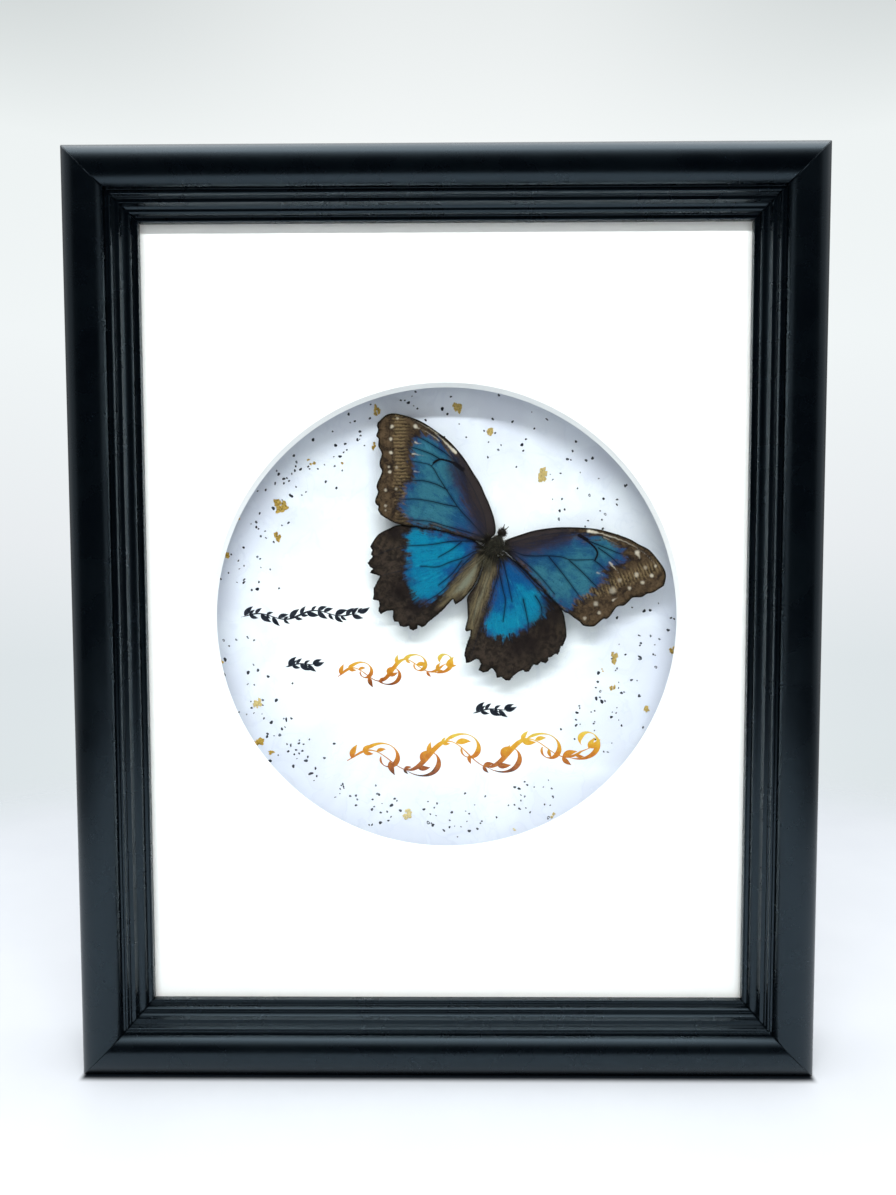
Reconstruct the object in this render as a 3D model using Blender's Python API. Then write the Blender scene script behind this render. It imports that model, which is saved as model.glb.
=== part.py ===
"""A blue butterfly mounted in a deep black moulded frame, behind glass and a round-cut white mat.

Axes: X to the right of someone facing the glass, Y from the front to the back, +Z up.
The origin is under the middle of the frame, on the surface that it stands on.
Depths are measured back from the foremost line of the moulding.
"""

import math

import bmesh
import bpy
from mathutils import Vector

MM = 0.001

# The frame. The visible opening and the moulding's width set its outside.
OPENING_W = 264.0 * MM
OPENING_H = 342.4 * MM
MOULDING_W = 28.0 * MM
RAIL_DEPTH = 47.0 * MM
RABBET_LIP = 7.0 * MM
OUTER_W = OPENING_W + 2 * MOULDING_W
OUTER_H = OPENING_H + 2 * MOULDING_W

# Clearances
TOUCH_GAP = 0.3 * MM
SHEET_CLEARANCE = 0.5 * MM

# What lies in the rabbet, from the front: depth of each front face, and thickness
SHEET_W = OPENING_W + 2 * RABBET_LIP
SHEET_H = OPENING_H + 2 * RABBET_LIP
LIP_BACK = 18.5 * MM
GLASS_THICK = 2.0 * MM
GLASS_FRONT = LIP_BACK + TOUCH_GAP
MAT_THICK = 2.2 * MM
MAT_FRONT = GLASS_FRONT + GLASS_THICK + TOUCH_GAP
MAT_HOLE_RADIUS = 102.3 * MM
MAT_HOLE_HEIGHT = 198.7 * MM
PRINT_FRONT = 39.0 * MM
PRINT_THICK = 1.6 * MM
SPACER_WIDTH = 6.5 * MM
BACK_BOARD_THICK = 3.0 * MM

# Fastenings at the back
TAB_LENGTH = 12.0 * MM
TAB_WIDTH = 8.0 * MM
TAB_THICK = 0.5 * MM
HANGER_LENGTH = 46.0 * MM
HANGER_HEIGHT = 9.0 * MM
HANGER_THICK = 0.8 * MM
HANGER_RAISE = 1.4 * MM
HANGER_TEETH = 12
NAIL_SHANK_RADIUS = 0.6 * MM
NAIL_SHANK_LENGTH = 9.0 * MM
NAIL_HEAD_RADIUS = 1.5 * MM
NAIL_HEAD_THICK = 0.6 * MM

# The butterfly. Its outlines are in mm from the middle of its thorax, right and up.
THORAX_X = 22.5 * MM
THORAX_Z = 231.5 * MM
WING_FRONT = 28.6 * MM
WING_THICK = 0.5 * MM
HINDWING_SET_BACK = 0.9 * MM
BODY_LEAN = math.radians(31)

# The sawtooth hanger and its nails stand out behind the rails.
HANGER_STANDS_OUT = HANGER_RAISE + HANGER_THICK + TOUCH_GAP
TOTAL_DEPTH = RAIL_DEPTH + HANGER_STANDS_OUT
FRONT_Y = -TOTAL_DEPTH / 2


def arc_points(centre, radii, start_deg, end_deg, steps):
    """Points on an ellipse about centre, from one angle to another."""
    points = []
    for i in range(steps + 1):
        angle = math.radians(start_deg + (end_deg - start_deg) * i / steps)
        points.append((centre[0] + radii[0] * math.cos(angle), centre[1] + radii[1] * math.sin(angle)))
    return points


def moulding_profile():
    """The rail's cross-section as (distance in from the outer side, depth), from the outer back corner round."""
    rabbet_wall = (MOULDING_W - RABBET_LIP - SHEET_CLEARANCE) / MM
    cushion_out = arc_points((9.2, 6.2), (9.2, 6.2), 180, 270, 7)
    cushion_in = arc_points((9.2, 6.8), (8.6, 6.8), 270, 344, 7)[1:]
    groove = [(17.6, 6.5), (18.5, 6.7)]
    bead = arc_points((19.25, 6.6), (0.65, 0.7), 200, 340, 4)
    fillet = [(20.1, 7.5), (20.5, 7.6), (20.7, 8.7), (22.3, 8.9)]
    cove = [(22.5, 10.3), (23.0, 11.4), (23.8, 12.1)]
    ovolo = arc_points((24.2, 14.3), (1.7, 2.0), 270, 360, 4)
    lip = [(26.0, 15.4), (27.3, 15.7), (27.6, 15.4), (28.0, 15.7), (28.0, LIP_BACK / MM)]
    rabbet = [(rabbet_wall, LIP_BACK / MM), (rabbet_wall, RAIL_DEPTH / MM), (0.0, RAIL_DEPTH / MM)]
    points = cushion_out + cushion_in + groove + bead + fillet + cove + ovolo + lip + rabbet
    return [(u * MM, t * MM) for u, t in points]


def material(name, colour, roughness, metallic=0.0, transmission=0.0):
    """A Principled material of one colour."""
    made = bpy.data.materials.new(name)
    made.use_nodes = True
    shader = made.node_tree.nodes["Principled BSDF"]
    shader.inputs["Base Color"].default_value = (*colour, 1.0)
    shader.inputs["Roughness"].default_value = roughness
    shader.inputs["Metallic"].default_value = metallic
    shader.inputs["Transmission Weight"].default_value = transmission
    return made


def node(name, bm, finish, smooth=False):
    """Links a finished bmesh to the scene as one named object."""
    bmesh.ops.recalc_face_normals(bm, faces=bm.faces)
    mesh = bpy.data.meshes.new(name)
    bm.to_mesh(mesh)
    bm.free()
    mesh.materials.append(finish)
    if smooth:
        mesh.shade_smooth()
        mesh.set_sharp_from_angle(angle=math.radians(40))
    made = bpy.data.objects.new(name, mesh)
    bpy.context.scene.collection.objects.link(made)
    return made


def loft(rings):
    """A closed bmesh through rings of equally many points, capped at both ends."""
    bm = bmesh.new()
    made = [[bm.verts.new(point) for point in ring] for ring in rings]
    count = len(made[0])
    for near, far in zip(made, made[1:]):
        for i in range(count):
            j = (i + 1) % count
            bm.faces.new((near[i], near[j], far[j], far[i]))
    bm.faces.new(made[0])
    bm.faces.new(made[-1])
    return bm


def slab(low, high):
    """A closed box between two corners."""
    (x0, y0, z0), (x1, y1, z1) = low, high
    ring = [(x0, z0), (x1, z0), (x1, z1), (x0, z1)]
    return loft([[(x, y, z) for x, z in ring] for y in (y0, y1)])


def sheet(depth, thick, width=SHEET_W, height=SHEET_H):
    """A flat sheet in the rabbet, its front face at this depth, centred in the opening."""
    front = FRONT_Y + depth
    middle = OUTER_H / 2
    low = (-width / 2, front, middle - height / 2)
    high = (width / 2, front + thick, middle + height / 2)
    return slab(low, high)


def cut(target, cutter_bm, name):
    """Takes a shape out of an object with an exact Boolean."""
    cutter = node(name, cutter_bm, target.data.materials[0])
    cutter.hide_render = True
    cutter.display_type = "WIRE"
    boolean = target.modifiers.new(name, "BOOLEAN")
    boolean.operation = "DIFFERENCE"
    boolean.solver = "EXACT"
    boolean.object = cutter


def rod(centre_x, centre_z, near_y, far_y, radius, sides=16):
    """A round rod along Y."""
    rings = []
    for y in (near_y, far_y):
        turn = [2 * math.pi * i / sides for i in range(sides)]
        rings.append([(centre_x + radius * math.cos(a), y, centre_z + radius * math.sin(a)) for a in turn])
    return loft(rings)


def build_rails(finish):
    """Four mitred lengths of moulding, a hair apart at the mitres."""
    half_w, half_h = OUTER_W / 2, OUTER_H / 2
    profile = moulding_profile()
    mitre = TOUCH_GAP / 2 * math.sqrt(2)
    rails = {}
    for name, along, out, length in (
        ("rail_bottom", Vector((1, 0, 0)), Vector((0, 0, -1)), half_w),
        ("rail_top", Vector((-1, 0, 0)), Vector((0, 0, 1)), half_w),
        ("rail_left", Vector((0, 0, -1)), Vector((-1, 0, 0)), half_h),
        ("rail_right", Vector((0, 0, 1)), Vector((1, 0, 0)), half_h),
    ):
        reach = half_h if abs(out.z) > 0 else half_w
        rings = []
        for end in (-1, 1):
            ring = []
            for u, t in profile:
                point = out * (reach - u) + along * end * (length - u - mitre)
                point += Vector((0, FRONT_Y + t, half_h))
                ring.append(point)
            rings.append(ring)
        rails[name] = node(name, loft(rings), finish, smooth=True)
    return rails


def build_mat(finish):
    """The mat board: a sheet with a round hole, its edge bevelled at about 45 degrees towards the glass."""
    front = FRONT_Y + MAT_FRONT
    mat = node("mat_board", sheet(MAT_FRONT, MAT_THICK), finish)
    spare = 1.0 * MM
    rings = []
    sides = 96
    for depth in (-spare, MAT_THICK + spare):
        radius = MAT_HOLE_RADIUS + (MAT_THICK - depth) * 0.9
        turn = [2 * math.pi * i / sides for i in range(sides)]
        rings.append(
            [
                (radius * math.cos(a), front + depth, MAT_HOLE_HEIGHT + radius * math.sin(a))
                for a in turn
            ]
        )
    cut(mat, loft(rings), "mat_hole_cutter")


def build_spacers(finish):
    """Four strips at the edges that hold the print board back from the mat."""
    near = FRONT_Y + MAT_FRONT + MAT_THICK + TOUCH_GAP
    far = FRONT_Y + PRINT_FRONT - TOUCH_GAP
    half_w, half_h = SHEET_W / 2, SHEET_H / 2
    middle = OUTER_H / 2
    inner_w = half_w - SPACER_WIDTH
    inner_h = half_h - SPACER_WIDTH
    top_h = inner_h - TOUCH_GAP
    for name, low, high in (
        ("spacer_top", (-half_w, inner_h), (half_w, half_h)),
        ("spacer_bottom", (-half_w, -half_h), (half_w, -inner_h)),
        ("spacer_left", (-half_w, -top_h), (-inner_w, top_h)),
        ("spacer_right", (inner_w, -top_h), (half_w, top_h)),
    ):
        bm = slab((low[0], near, middle + low[1]), (high[0], far, middle + high[1]))
        node(name, bm, finish)


def build_tabs(finish):
    """Flat steel points in the rabbet wall that press on the back board, two to a side."""
    near = FRONT_Y + PRINT_FRONT + PRINT_THICK + BACK_BOARD_THICK + 2 * TOUCH_GAP
    far = near + TAB_THICK
    wall_w = OUTER_W / 2 - (MOULDING_W - RABBET_LIP - SHEET_CLEARANCE) - TOUCH_GAP
    wall_h = OUTER_H / 2 - (MOULDING_W - RABBET_LIP - SHEET_CLEARANCE) - TOUCH_GAP
    middle = OUTER_H / 2
    half = TAB_WIDTH / 2
    tip = TAB_WIDTH / 5
    shape = [(0, -half), (TAB_LENGTH * 0.6, -half), (TAB_LENGTH, -tip)]
    shape += [(TAB_LENGTH, tip), (TAB_LENGTH * 0.6, half), (0, half)]
    number = 0
    for side in (-1, 1):
        for share in (-0.25, 0.25):
            for along_z in (True, False):
                number += 1
                ring = []
                for inward, across in shape:
                    if along_z:
                        ring.append((side * (wall_w - inward), middle + share * OUTER_H + across))
                    else:
                        ring.append((share * OUTER_W + across, middle + side * (wall_h - inward)))
                bm = loft([[(x, y, z) for x, z in ring] for y in (near, far)])
                node(f"retaining_tab_{number}", bm, finish)


def build_hanger(finish, top_rail):
    """A sawtooth hanger nailed to the back of the top rail, and its two nails."""
    rail_back = FRONT_Y + RAIL_DEPTH
    middle_z = OUTER_H - (MOULDING_W - RABBET_LIP - SHEET_CLEARANCE) / 2
    top_z = middle_z + HANGER_HEIGHT / 2
    bottom_z = middle_z - HANGER_HEIGHT / 2
    tooth = 1.3 * MM
    foot = 7.0 * MM
    slope = 2.0 * MM
    reach = HANGER_LENGTH / 2 - foot - slope
    columns = [(-HANGER_LENGTH / 2, 0, 0), (-HANGER_LENGTH / 2 + foot, 0, 0)]
    for i in range(2 * HANGER_TEETH + 1):
        columns.append((-reach + reach * i / HANGER_TEETH, HANGER_RAISE, tooth if i % 2 else 0))
    columns += [(HANGER_LENGTH / 2 - foot, 0, 0), (HANGER_LENGTH / 2, 0, 0)]
    rings = []
    for x, raised, notch in columns:
        near = rail_back + TOUCH_GAP + raised
        rings.append(
            [
                (x, near, bottom_z + notch),
                (x, near + HANGER_THICK, bottom_z + notch),
                (x, near + HANGER_THICK, top_z),
                (x, near, top_z),
            ]
        )
    plate = node("sawtooth_hanger", loft(rings), finish)
    plate_back = rail_back + TOUCH_GAP + HANGER_THICK
    for side, word in ((-1, "left"), (1, "right")):
        x = side * (HANGER_LENGTH / 2 - foot / 2)
        deep = rail_back - NAIL_SHANK_LENGTH
        hole_radius = NAIL_SHANK_RADIUS + TOUCH_GAP
        spare = 1.0 * MM
        cut(plate, rod(x, middle_z, rail_back, plate_back + spare, hole_radius), f"plate_hole_{word}")
        cut(top_rail, rod(x, middle_z, deep - spare, rail_back + spare, hole_radius), f"rail_hole_{word}")
        shank = NAIL_SHANK_RADIUS
        head = NAIL_HEAD_RADIUS
        head_near = plate_back + TOUCH_GAP
        stations = [
            (deep, shank * 0.3),
            (deep + 1.5 * MM, shank),
            (head_near, shank),
            (head_near, head),
            (head_near + NAIL_HEAD_THICK * 0.6, head),
            (head_near + NAIL_HEAD_THICK, head * 0.7),
        ]
        rings = []
        for y, radius in stations:
            turn = [2 * math.pi * i / 14 for i in range(14)]
            rings.append([(x + radius * math.cos(a), y, middle_z + radius * math.sin(a)) for a in turn])
        node(f"hanger_nail_{word}", loft(rings), finish, smooth=True)


def wing_outlines():
    """Each wing's edge, in mm from the middle of the thorax."""
    forewing_left = [
        (-3.0, 3.6), (-1.6, 6.2), (-3.2, 18.4), (-7.2, 27.4), (-11.9, 35.0), (-17.1, 41.7), (-25.1, 49.7),
        (-33.6, 55.1), (-43.0, 58.4), (-48.4, 58.3), (-52.9, 54.7), (-53.3, 48.9), (-51.2, 41.0),
        (-51.9, 36.0), (-51.2, 32.9), (-53.5, 26.2), (-53.9, 20.0), (-51.8, 14.1), (-43.7, 9.8),
        (-30.2, 7.5), (-14.0, 3.6), (-5.0, 1.6),
    ]
    hindwing_left = [
        (-5.6, -0.4), (-14.0, 4.6), (-30.0, 8.2), (-43.2, 9.5), (-50.0, 6.6), (-56.6, -0.1),
        (-57.7, -7.5), (-57.0, -11.9), (-52.3, -13.5), (-55.3, -18.9), (-55.7, -24.0), (-53.0, -26.0),
        (-52.2, -30.4), (-46.5, -28.9), (-46.1, -33.9), (-37.5, -38.0), (-32.1, -35.9), (-23.9, -28.7),
        (-19.5, -23.8), (-18.5, -26.4), (-14.2, -23.2), (-11.6, -20.2), (-8.0, -13.2), (-6.2, -6.5),
    ]
    forewing_right = [
        (4.7, 2.4), (11.0, 5.1), (16.7, 6.8), (23.6, 7.9), (37.8, 8.1), (46.4, 7.1), (57.8, 3.6),
        (68.7, -2.4), (74.1, -9.0), (75.6, -13.5), (74.8, -17.9), (67.2, -21.6), (60.9, -23.3),
        (55.5, -27.2), (49.5, -32.6), (43.3, -36.1), (39.2, -35.6), (34.6, -32.2), (24.2, -23.3),
        (15.1, -13.5), (6.5, -4.9), (4.9, -2.0),
    ]
    hindwing_right = [
        (-3.9, -8.2), (-6.9, -13.5), (-9.3, -18.0), (-12.4, -21.6), (-13.1, -30.0), (-14.2, -37.8),
        (-11.8, -40.3), (-14.3, -49.0), (-13.8, -52.8), (-8.8, -51.0), (-7.8, -56.0), (-3.6, -56.5),
        (0.6, -59.4), (6.0, -60.8), (11.9, -56.2), (14.6, -56.5), (20.0, -52.6), (25.0, -49.9),
        (29.0, -45.5), (31.6, -40.0), (30.8, -33.5), (29.6, -29.2), (16.0, -13.6), (5.6, -4.6),
        (2.4, -5.4),
    ]
    return (
        ("forewing_left", forewing_left, 0.0),
        ("forewing_right", forewing_right, 0.0),
        ("hindwing_left", hindwing_left, HINDWING_SET_BACK),
        ("hindwing_right", hindwing_right, HINDWING_SET_BACK),
    )


def build_wings(finish):
    """Four thin wings, the forewings in front of the hindwings where they lap."""
    for name, outline, set_back in wing_outlines():
        near = FRONT_Y + WING_FRONT + set_back
        rings = []
        for y in (near, near + WING_THICK):
            rings.append([(THORAX_X + x * MM, y, THORAX_Z + z * MM) for x, z in outline])
        node(name, loft(rings), finish)


def body_point(across, depth, along):
    """A point of the body, from its own axes: across it, back from its middle, and along it to the head."""
    x = THORAX_X + along * math.sin(BODY_LEAN) + across * math.cos(BODY_LEAN)
    z = THORAX_Z + along * math.cos(BODY_LEAN) - across * math.sin(BODY_LEAN)
    return (x, FRONT_Y + WING_FRONT + WING_THICK / 2 + depth, z)


def turned_body(stations, squash, sides=16):
    """A rounded body through (along, radius) stations, flattened from front to back."""
    rings = []
    for along, radius in stations:
        turn = [2 * math.pi * i / sides for i in range(sides)]
        rings.append(
            [
                body_point(radius * math.cos(a) * MM, radius * squash * math.sin(a) * MM, along * MM)
                for a in turn
            ]
        )
    return loft(rings)


def build_body(finish, antenna_finish, cork_finish):
    """Thorax, head, the stubs of two broken antennae, and the cork that holds the butterfly off the board."""
    thorax = [(-6.2, 1.2), (-5.2, 2.3), (-3.2, 3.1), (0.0, 3.6), (3.4, 3.2), (5.4, 2.3), (6.2, 1.2)]
    # The wings' roots meet the thorax at its sides, a hair off it.
    node("thorax", turned_body(thorax, 0.95), finish, smooth=True)
    head = [(6.6, 0.9), (7.2, 1.7), (8.3, 2.1), (9.4, 1.8), (10.0, 0.9)]
    node("head", turned_body(head, 0.95), finish, smooth=True)
    for side, word in ((-1, "left"), (1, "right")):
        rings = []
        for along, radius in ((10.35, 0.22), (11.4, 0.18), (12.4, 0.12)):
            turn = [2 * math.pi * i / 8 for i in range(8)]
            lean = side * (0.55 + 0.25 * (along - 10.35))
            rings.append(
                [
                    body_point((lean + radius * math.cos(a)) * MM, radius * math.sin(a) * MM, along * MM)
                    for a in turn
                ]
            )
        node(f"antenna_stub_{word}", loft(rings), antenna_finish, smooth=True)
    cork_near = FRONT_Y + WING_FRONT + WING_THICK / 2 + 3.6 * 0.95 * MM + TOUCH_GAP
    cork_far = FRONT_Y + PRINT_FRONT - TOUCH_GAP
    node("cork_standoff", rod(THORAX_X, THORAX_Z, cork_near, cork_far, 2.6 * MM, 20), cork_finish, smooth=True)


def main():
    """Clears the scene and builds every piece."""
    for old in list(bpy.data.objects):
        bpy.data.objects.remove(old)
    black = material("black_lacquered_wood", (0.012, 0.013, 0.015), 0.32)
    steel = material("zinc_plated_steel", (0.62, 0.62, 0.60), 0.35, metallic=1.0)
    rails = build_rails(black)
    glass = material("clear_glass", (1.0, 1.0, 1.0), 0.02, transmission=1.0)
    node("glass_pane", sheet(GLASS_FRONT, GLASS_THICK), glass)
    build_mat(material("white_mat_board", (0.93, 0.93, 0.93), 0.85))
    build_spacers(material("white_foam_strip", (0.85, 0.85, 0.85), 0.9))
    paper = material("printed_paper", (0.80, 0.87, 0.90), 0.8)
    node("print_board", sheet(PRINT_FRONT, PRINT_THICK), paper)
    back_depth = PRINT_FRONT + PRINT_THICK + TOUCH_GAP
    brown = material("brown_fibreboard", (0.28, 0.17, 0.09), 0.8)
    node("back_board", sheet(back_depth, BACK_BOARD_THICK), brown)
    build_tabs(steel)
    build_hanger(steel, rails["rail_top"])
    build_wings(material("blue_wing_scales", (0.03, 0.25, 0.45), 0.45))
    fur = material("dark_body_fur", (0.03, 0.028, 0.02), 0.9)
    stub = material("antenna_black", (0.01, 0.01, 0.01), 0.6)
    build_body(fur, stub, material("cork", (0.45, 0.30, 0.16), 0.9))


main()
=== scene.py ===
"""A blue butterfly in a deep black moulded frame: its fine shapes, finishes, light and camera.

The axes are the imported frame's, in metres: X to the right of someone facing the glass, Y from the
front to the back, +Z up. Sizes written as numbers are in millimetres, and MM turns them into metres.
A depth is measured back from the foremost line of the moulding.
"""

import logging
from collections.abc import Iterable, Sequence
from dataclasses import dataclass, field
from enum import Enum
from math import acos, asin, ceil, cos, hypot, pi, radians, sin, sqrt

import bmesh
import bpy
import numpy as np
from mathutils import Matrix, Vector
from mathutils.geometry import delaunay_2d_cdt


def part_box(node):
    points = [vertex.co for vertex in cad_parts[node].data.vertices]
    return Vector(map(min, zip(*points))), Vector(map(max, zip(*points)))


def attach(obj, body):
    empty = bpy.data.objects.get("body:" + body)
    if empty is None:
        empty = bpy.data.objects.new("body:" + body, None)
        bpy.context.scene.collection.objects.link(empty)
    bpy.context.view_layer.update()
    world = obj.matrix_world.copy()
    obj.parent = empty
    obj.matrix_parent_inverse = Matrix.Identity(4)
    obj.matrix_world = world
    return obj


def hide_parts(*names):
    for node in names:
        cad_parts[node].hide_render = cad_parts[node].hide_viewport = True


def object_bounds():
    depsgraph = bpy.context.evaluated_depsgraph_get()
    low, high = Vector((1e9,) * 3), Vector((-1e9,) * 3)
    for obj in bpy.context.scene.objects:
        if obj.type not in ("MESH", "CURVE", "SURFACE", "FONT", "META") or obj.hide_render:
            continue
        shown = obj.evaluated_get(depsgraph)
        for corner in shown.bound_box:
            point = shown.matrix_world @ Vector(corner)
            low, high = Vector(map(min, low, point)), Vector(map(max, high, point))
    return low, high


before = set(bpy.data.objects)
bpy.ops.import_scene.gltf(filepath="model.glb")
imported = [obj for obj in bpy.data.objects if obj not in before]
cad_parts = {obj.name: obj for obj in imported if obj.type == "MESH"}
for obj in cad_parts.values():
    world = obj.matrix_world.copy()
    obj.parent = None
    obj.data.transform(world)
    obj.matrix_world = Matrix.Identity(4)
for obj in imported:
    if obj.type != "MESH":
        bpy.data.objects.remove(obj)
cad_low, cad_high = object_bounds()

MM = 0.001
FRONT = cad_low.y / MM
log = logging.getLogger("butterfly_frame")

Array = np.ndarray
Point = tuple[float, float]
Colour = tuple[float, float, float, float]
Socket = bpy.types.NodeSocket
Material = bpy.types.Material
Object = bpy.types.Object
Chance = np.random.Generator
Stops = Sequence[tuple[float, Colour]]


class Slot(Enum):
    """The material slots, for the pieces made here."""

    FRAME = "black_frame"
    MAT = "white_mat"
    SPACER = "white_spacer"
    PAPER = "watercolour_paper"
    BOARD = "fibreboard"
    STEEL = "plated_steel"
    CORK = "cork"
    FUR = "body_fur"
    HORN = "antenna_black"
    WING = "wing_scales"


# Lines and numbers that several pieces share


def display(red: float, green: float, blue: float, gain: float = 1.0) -> Colour:
    """Turns a colour as a screen shows it into the linear colour that a shader takes.

    Args:
        red: Red, 0 to 255.
        green: Green, 0 to 255.
        blue: Blue, 0 to 255.
        gain: What the linear colour is multiplied by.

    Returns:
        The linear colour, with alpha 1.
    """
    linear = []
    for value in (red, green, blue):
        share = value / 255
        linear.append(gain * (share / 12.92 if share <= 0.04045 else ((share + 0.055) / 1.055) ** 2.4))
    return (*linear, 1.0)


def middle(node: str) -> Vector:
    """Gives the middle of a CAD node's box, in millimetres."""
    low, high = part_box(node)
    return (low + high) / 2 / MM


def smooth(low: float, high: float, value: Array) -> Array:
    """Rises smoothly from 0 where value is low to 1 where it is high."""
    share = np.clip((value - low) / (high - low), 0, 1)
    return share * share * (3 - 2 * share)


def waves(points: Array, length: float, seed: int) -> Array:
    """A smooth uneven surface, about -1 to 1, as a sum of plane waves.

    Args:
        points: Places, one row each.
        length: The typical distance between crests.
        seed: Picks the directions and phases.

    Returns:
        One height for each place.
    """
    draw = np.random.default_rng(seed)
    total = np.zeros(len(points))
    for _ in range(7):
        direction = draw.normal(size=points.shape[1])
        direction /= np.linalg.norm(direction)
        pace = 2 * pi / (length * draw.uniform(0.6, 1.6))
        total += np.sin(points @ direction * pace + draw.uniform(0, 2 * pi))
    return total / 3.5


def arc(centre: Point, radii: Point, start_deg: float, end_deg: float, steps: int) -> list[Point]:
    """Points on an ellipse.

    Args:
        centre: Its centre.
        radii: Its two radii.
        start_deg: The first point's angle.
        end_deg: The last point's angle.
        steps: How many spans lie between them.

    Returns:
        The points in order, both ends among them.
    """
    turn = np.radians(np.linspace(start_deg, end_deg, steps + 1))
    return [(centre[0] + radii[0] * cos(a), centre[1] + radii[1] * sin(a)) for a in turn]


def evenly(line: Array, spacing: float) -> Array:
    """Points at even steps along a line of straight spans.

    Args:
        line: The line's points, in order.
        spacing: The step between two points.

    Returns:
        The points, ends included.
    """
    spans = np.linalg.norm(np.diff(line, axis=0), axis=1)
    reach = np.concatenate([[0], np.cumsum(spans)])
    stops = np.linspace(0, reach[-1], max(2, round(reach[-1] / spacing) + 1))
    return np.stack([np.interp(stops, reach, line[:, k]) for k in range(line.shape[1])], axis=1)


def flowing(points: Sequence[Sequence[float]], spacing: float) -> Array:
    """A smooth line through points.

    Args:
        points: What the line passes through.
        spacing: The distance between the points that it returns.

    Returns:
        The line, one row for each point.
    """
    line = np.array(points, float)
    if len(line) < 3:
        return evenly(line, spacing)
    padded = np.vstack([2 * line[0] - line[1], line, 2 * line[-1] - line[-2]])
    share = np.linspace(0, 1, 16, endpoint=False)[:, None]
    parts = []
    for a, b, c, d in zip(padded, padded[1:], padded[2:], padded[3:]):
        bend = 2 * a - 5 * b + 4 * c - d
        twist = -a + 3 * b - 3 * c + d
        parts.append(0.5 * (2 * b + (c - a) * share + bend * share**2 + twist * share**3))
    return evenly(np.vstack([*parts, line[-1:]]), spacing)


def to_line(points: Array, line: Array) -> tuple[Array, Array]:
    """Measures how far each point lies from a line.

    Args:
        points: Places, one row each.
        line: A line of straight spans.

    Returns:
        The distance, and how far along the line its nearest place is, from 0 to 1.
    """
    nearest = np.full(len(points), np.inf)
    along = np.zeros(len(points))
    count = max(1, len(line) - 1)
    if len(line) == 1:
        return np.linalg.norm(points - line[0], axis=1), along
    for i, (start, end) in enumerate(zip(line, line[1:])):
        span = end - start
        share = np.clip((points - start) @ span / max(float(span @ span), 1e-12), 0, 1)
        away = np.linalg.norm(points - start - share[:, None] * span, axis=1)
        closer = away < nearest
        nearest = np.where(closer, away, nearest)
        along = np.where(closer, (i + share) / count, along)
    return nearest, along


def within(points: Array, ring: Array) -> Array:
    """Tells which points lie inside a closed ring.

    Args:
        points: The points to test.
        ring: The ring's corners, in order.

    Returns:
        True for each point inside.
    """
    found = np.zeros(len(points), bool)
    for (x0, z0), (x1, z1) in zip(ring, np.roll(ring, -1, axis=0)):
        if z0 == z1:
            continue
        crosses = (points[:, 1] < z0) != (points[:, 1] < z1)
        found ^= crosses & (points[:, 0] < (x1 - x0) * (points[:, 1] - z0) / (z1 - z0) + x0)
    return found


def depth_in(points: Array, ring: Array) -> Array:
    """The distance of each point from a closed ring, positive inside it."""
    away, _ = to_line(points, np.vstack([ring, ring[:1]]))
    return np.where(within(points, ring), away, -away)


def facing(flat: Array, depth: float | Array) -> Array:
    """Sets points (x, z) at a depth, as (x, depth, z)."""
    return np.stack([flat[:, 0], np.broadcast_to(depth, len(flat)), flat[:, 1]], axis=1)


def blots(points: Array, spots: Sequence[tuple[float, float, float]]) -> Array:
    """Soft round blots, 1 at the middle of each, from rows (x, z, reach).

    Args:
        points: Where to look.
        spots: The blots' middles and reaches.

    Returns:
        The strongest blot at each point.
    """
    total = np.zeros(len(points))
    for x, z, reach in spots:
        away = np.hypot(points[:, 0] - x, points[:, 1] - z)
        total = np.maximum(total, np.exp(-((away / reach) ** 2)))
    return total


def turns(sides: int) -> Array:
    """The angles of a ring's points, in radians."""
    return np.linspace(0, 2 * pi, sides, endpoint=False)


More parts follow.
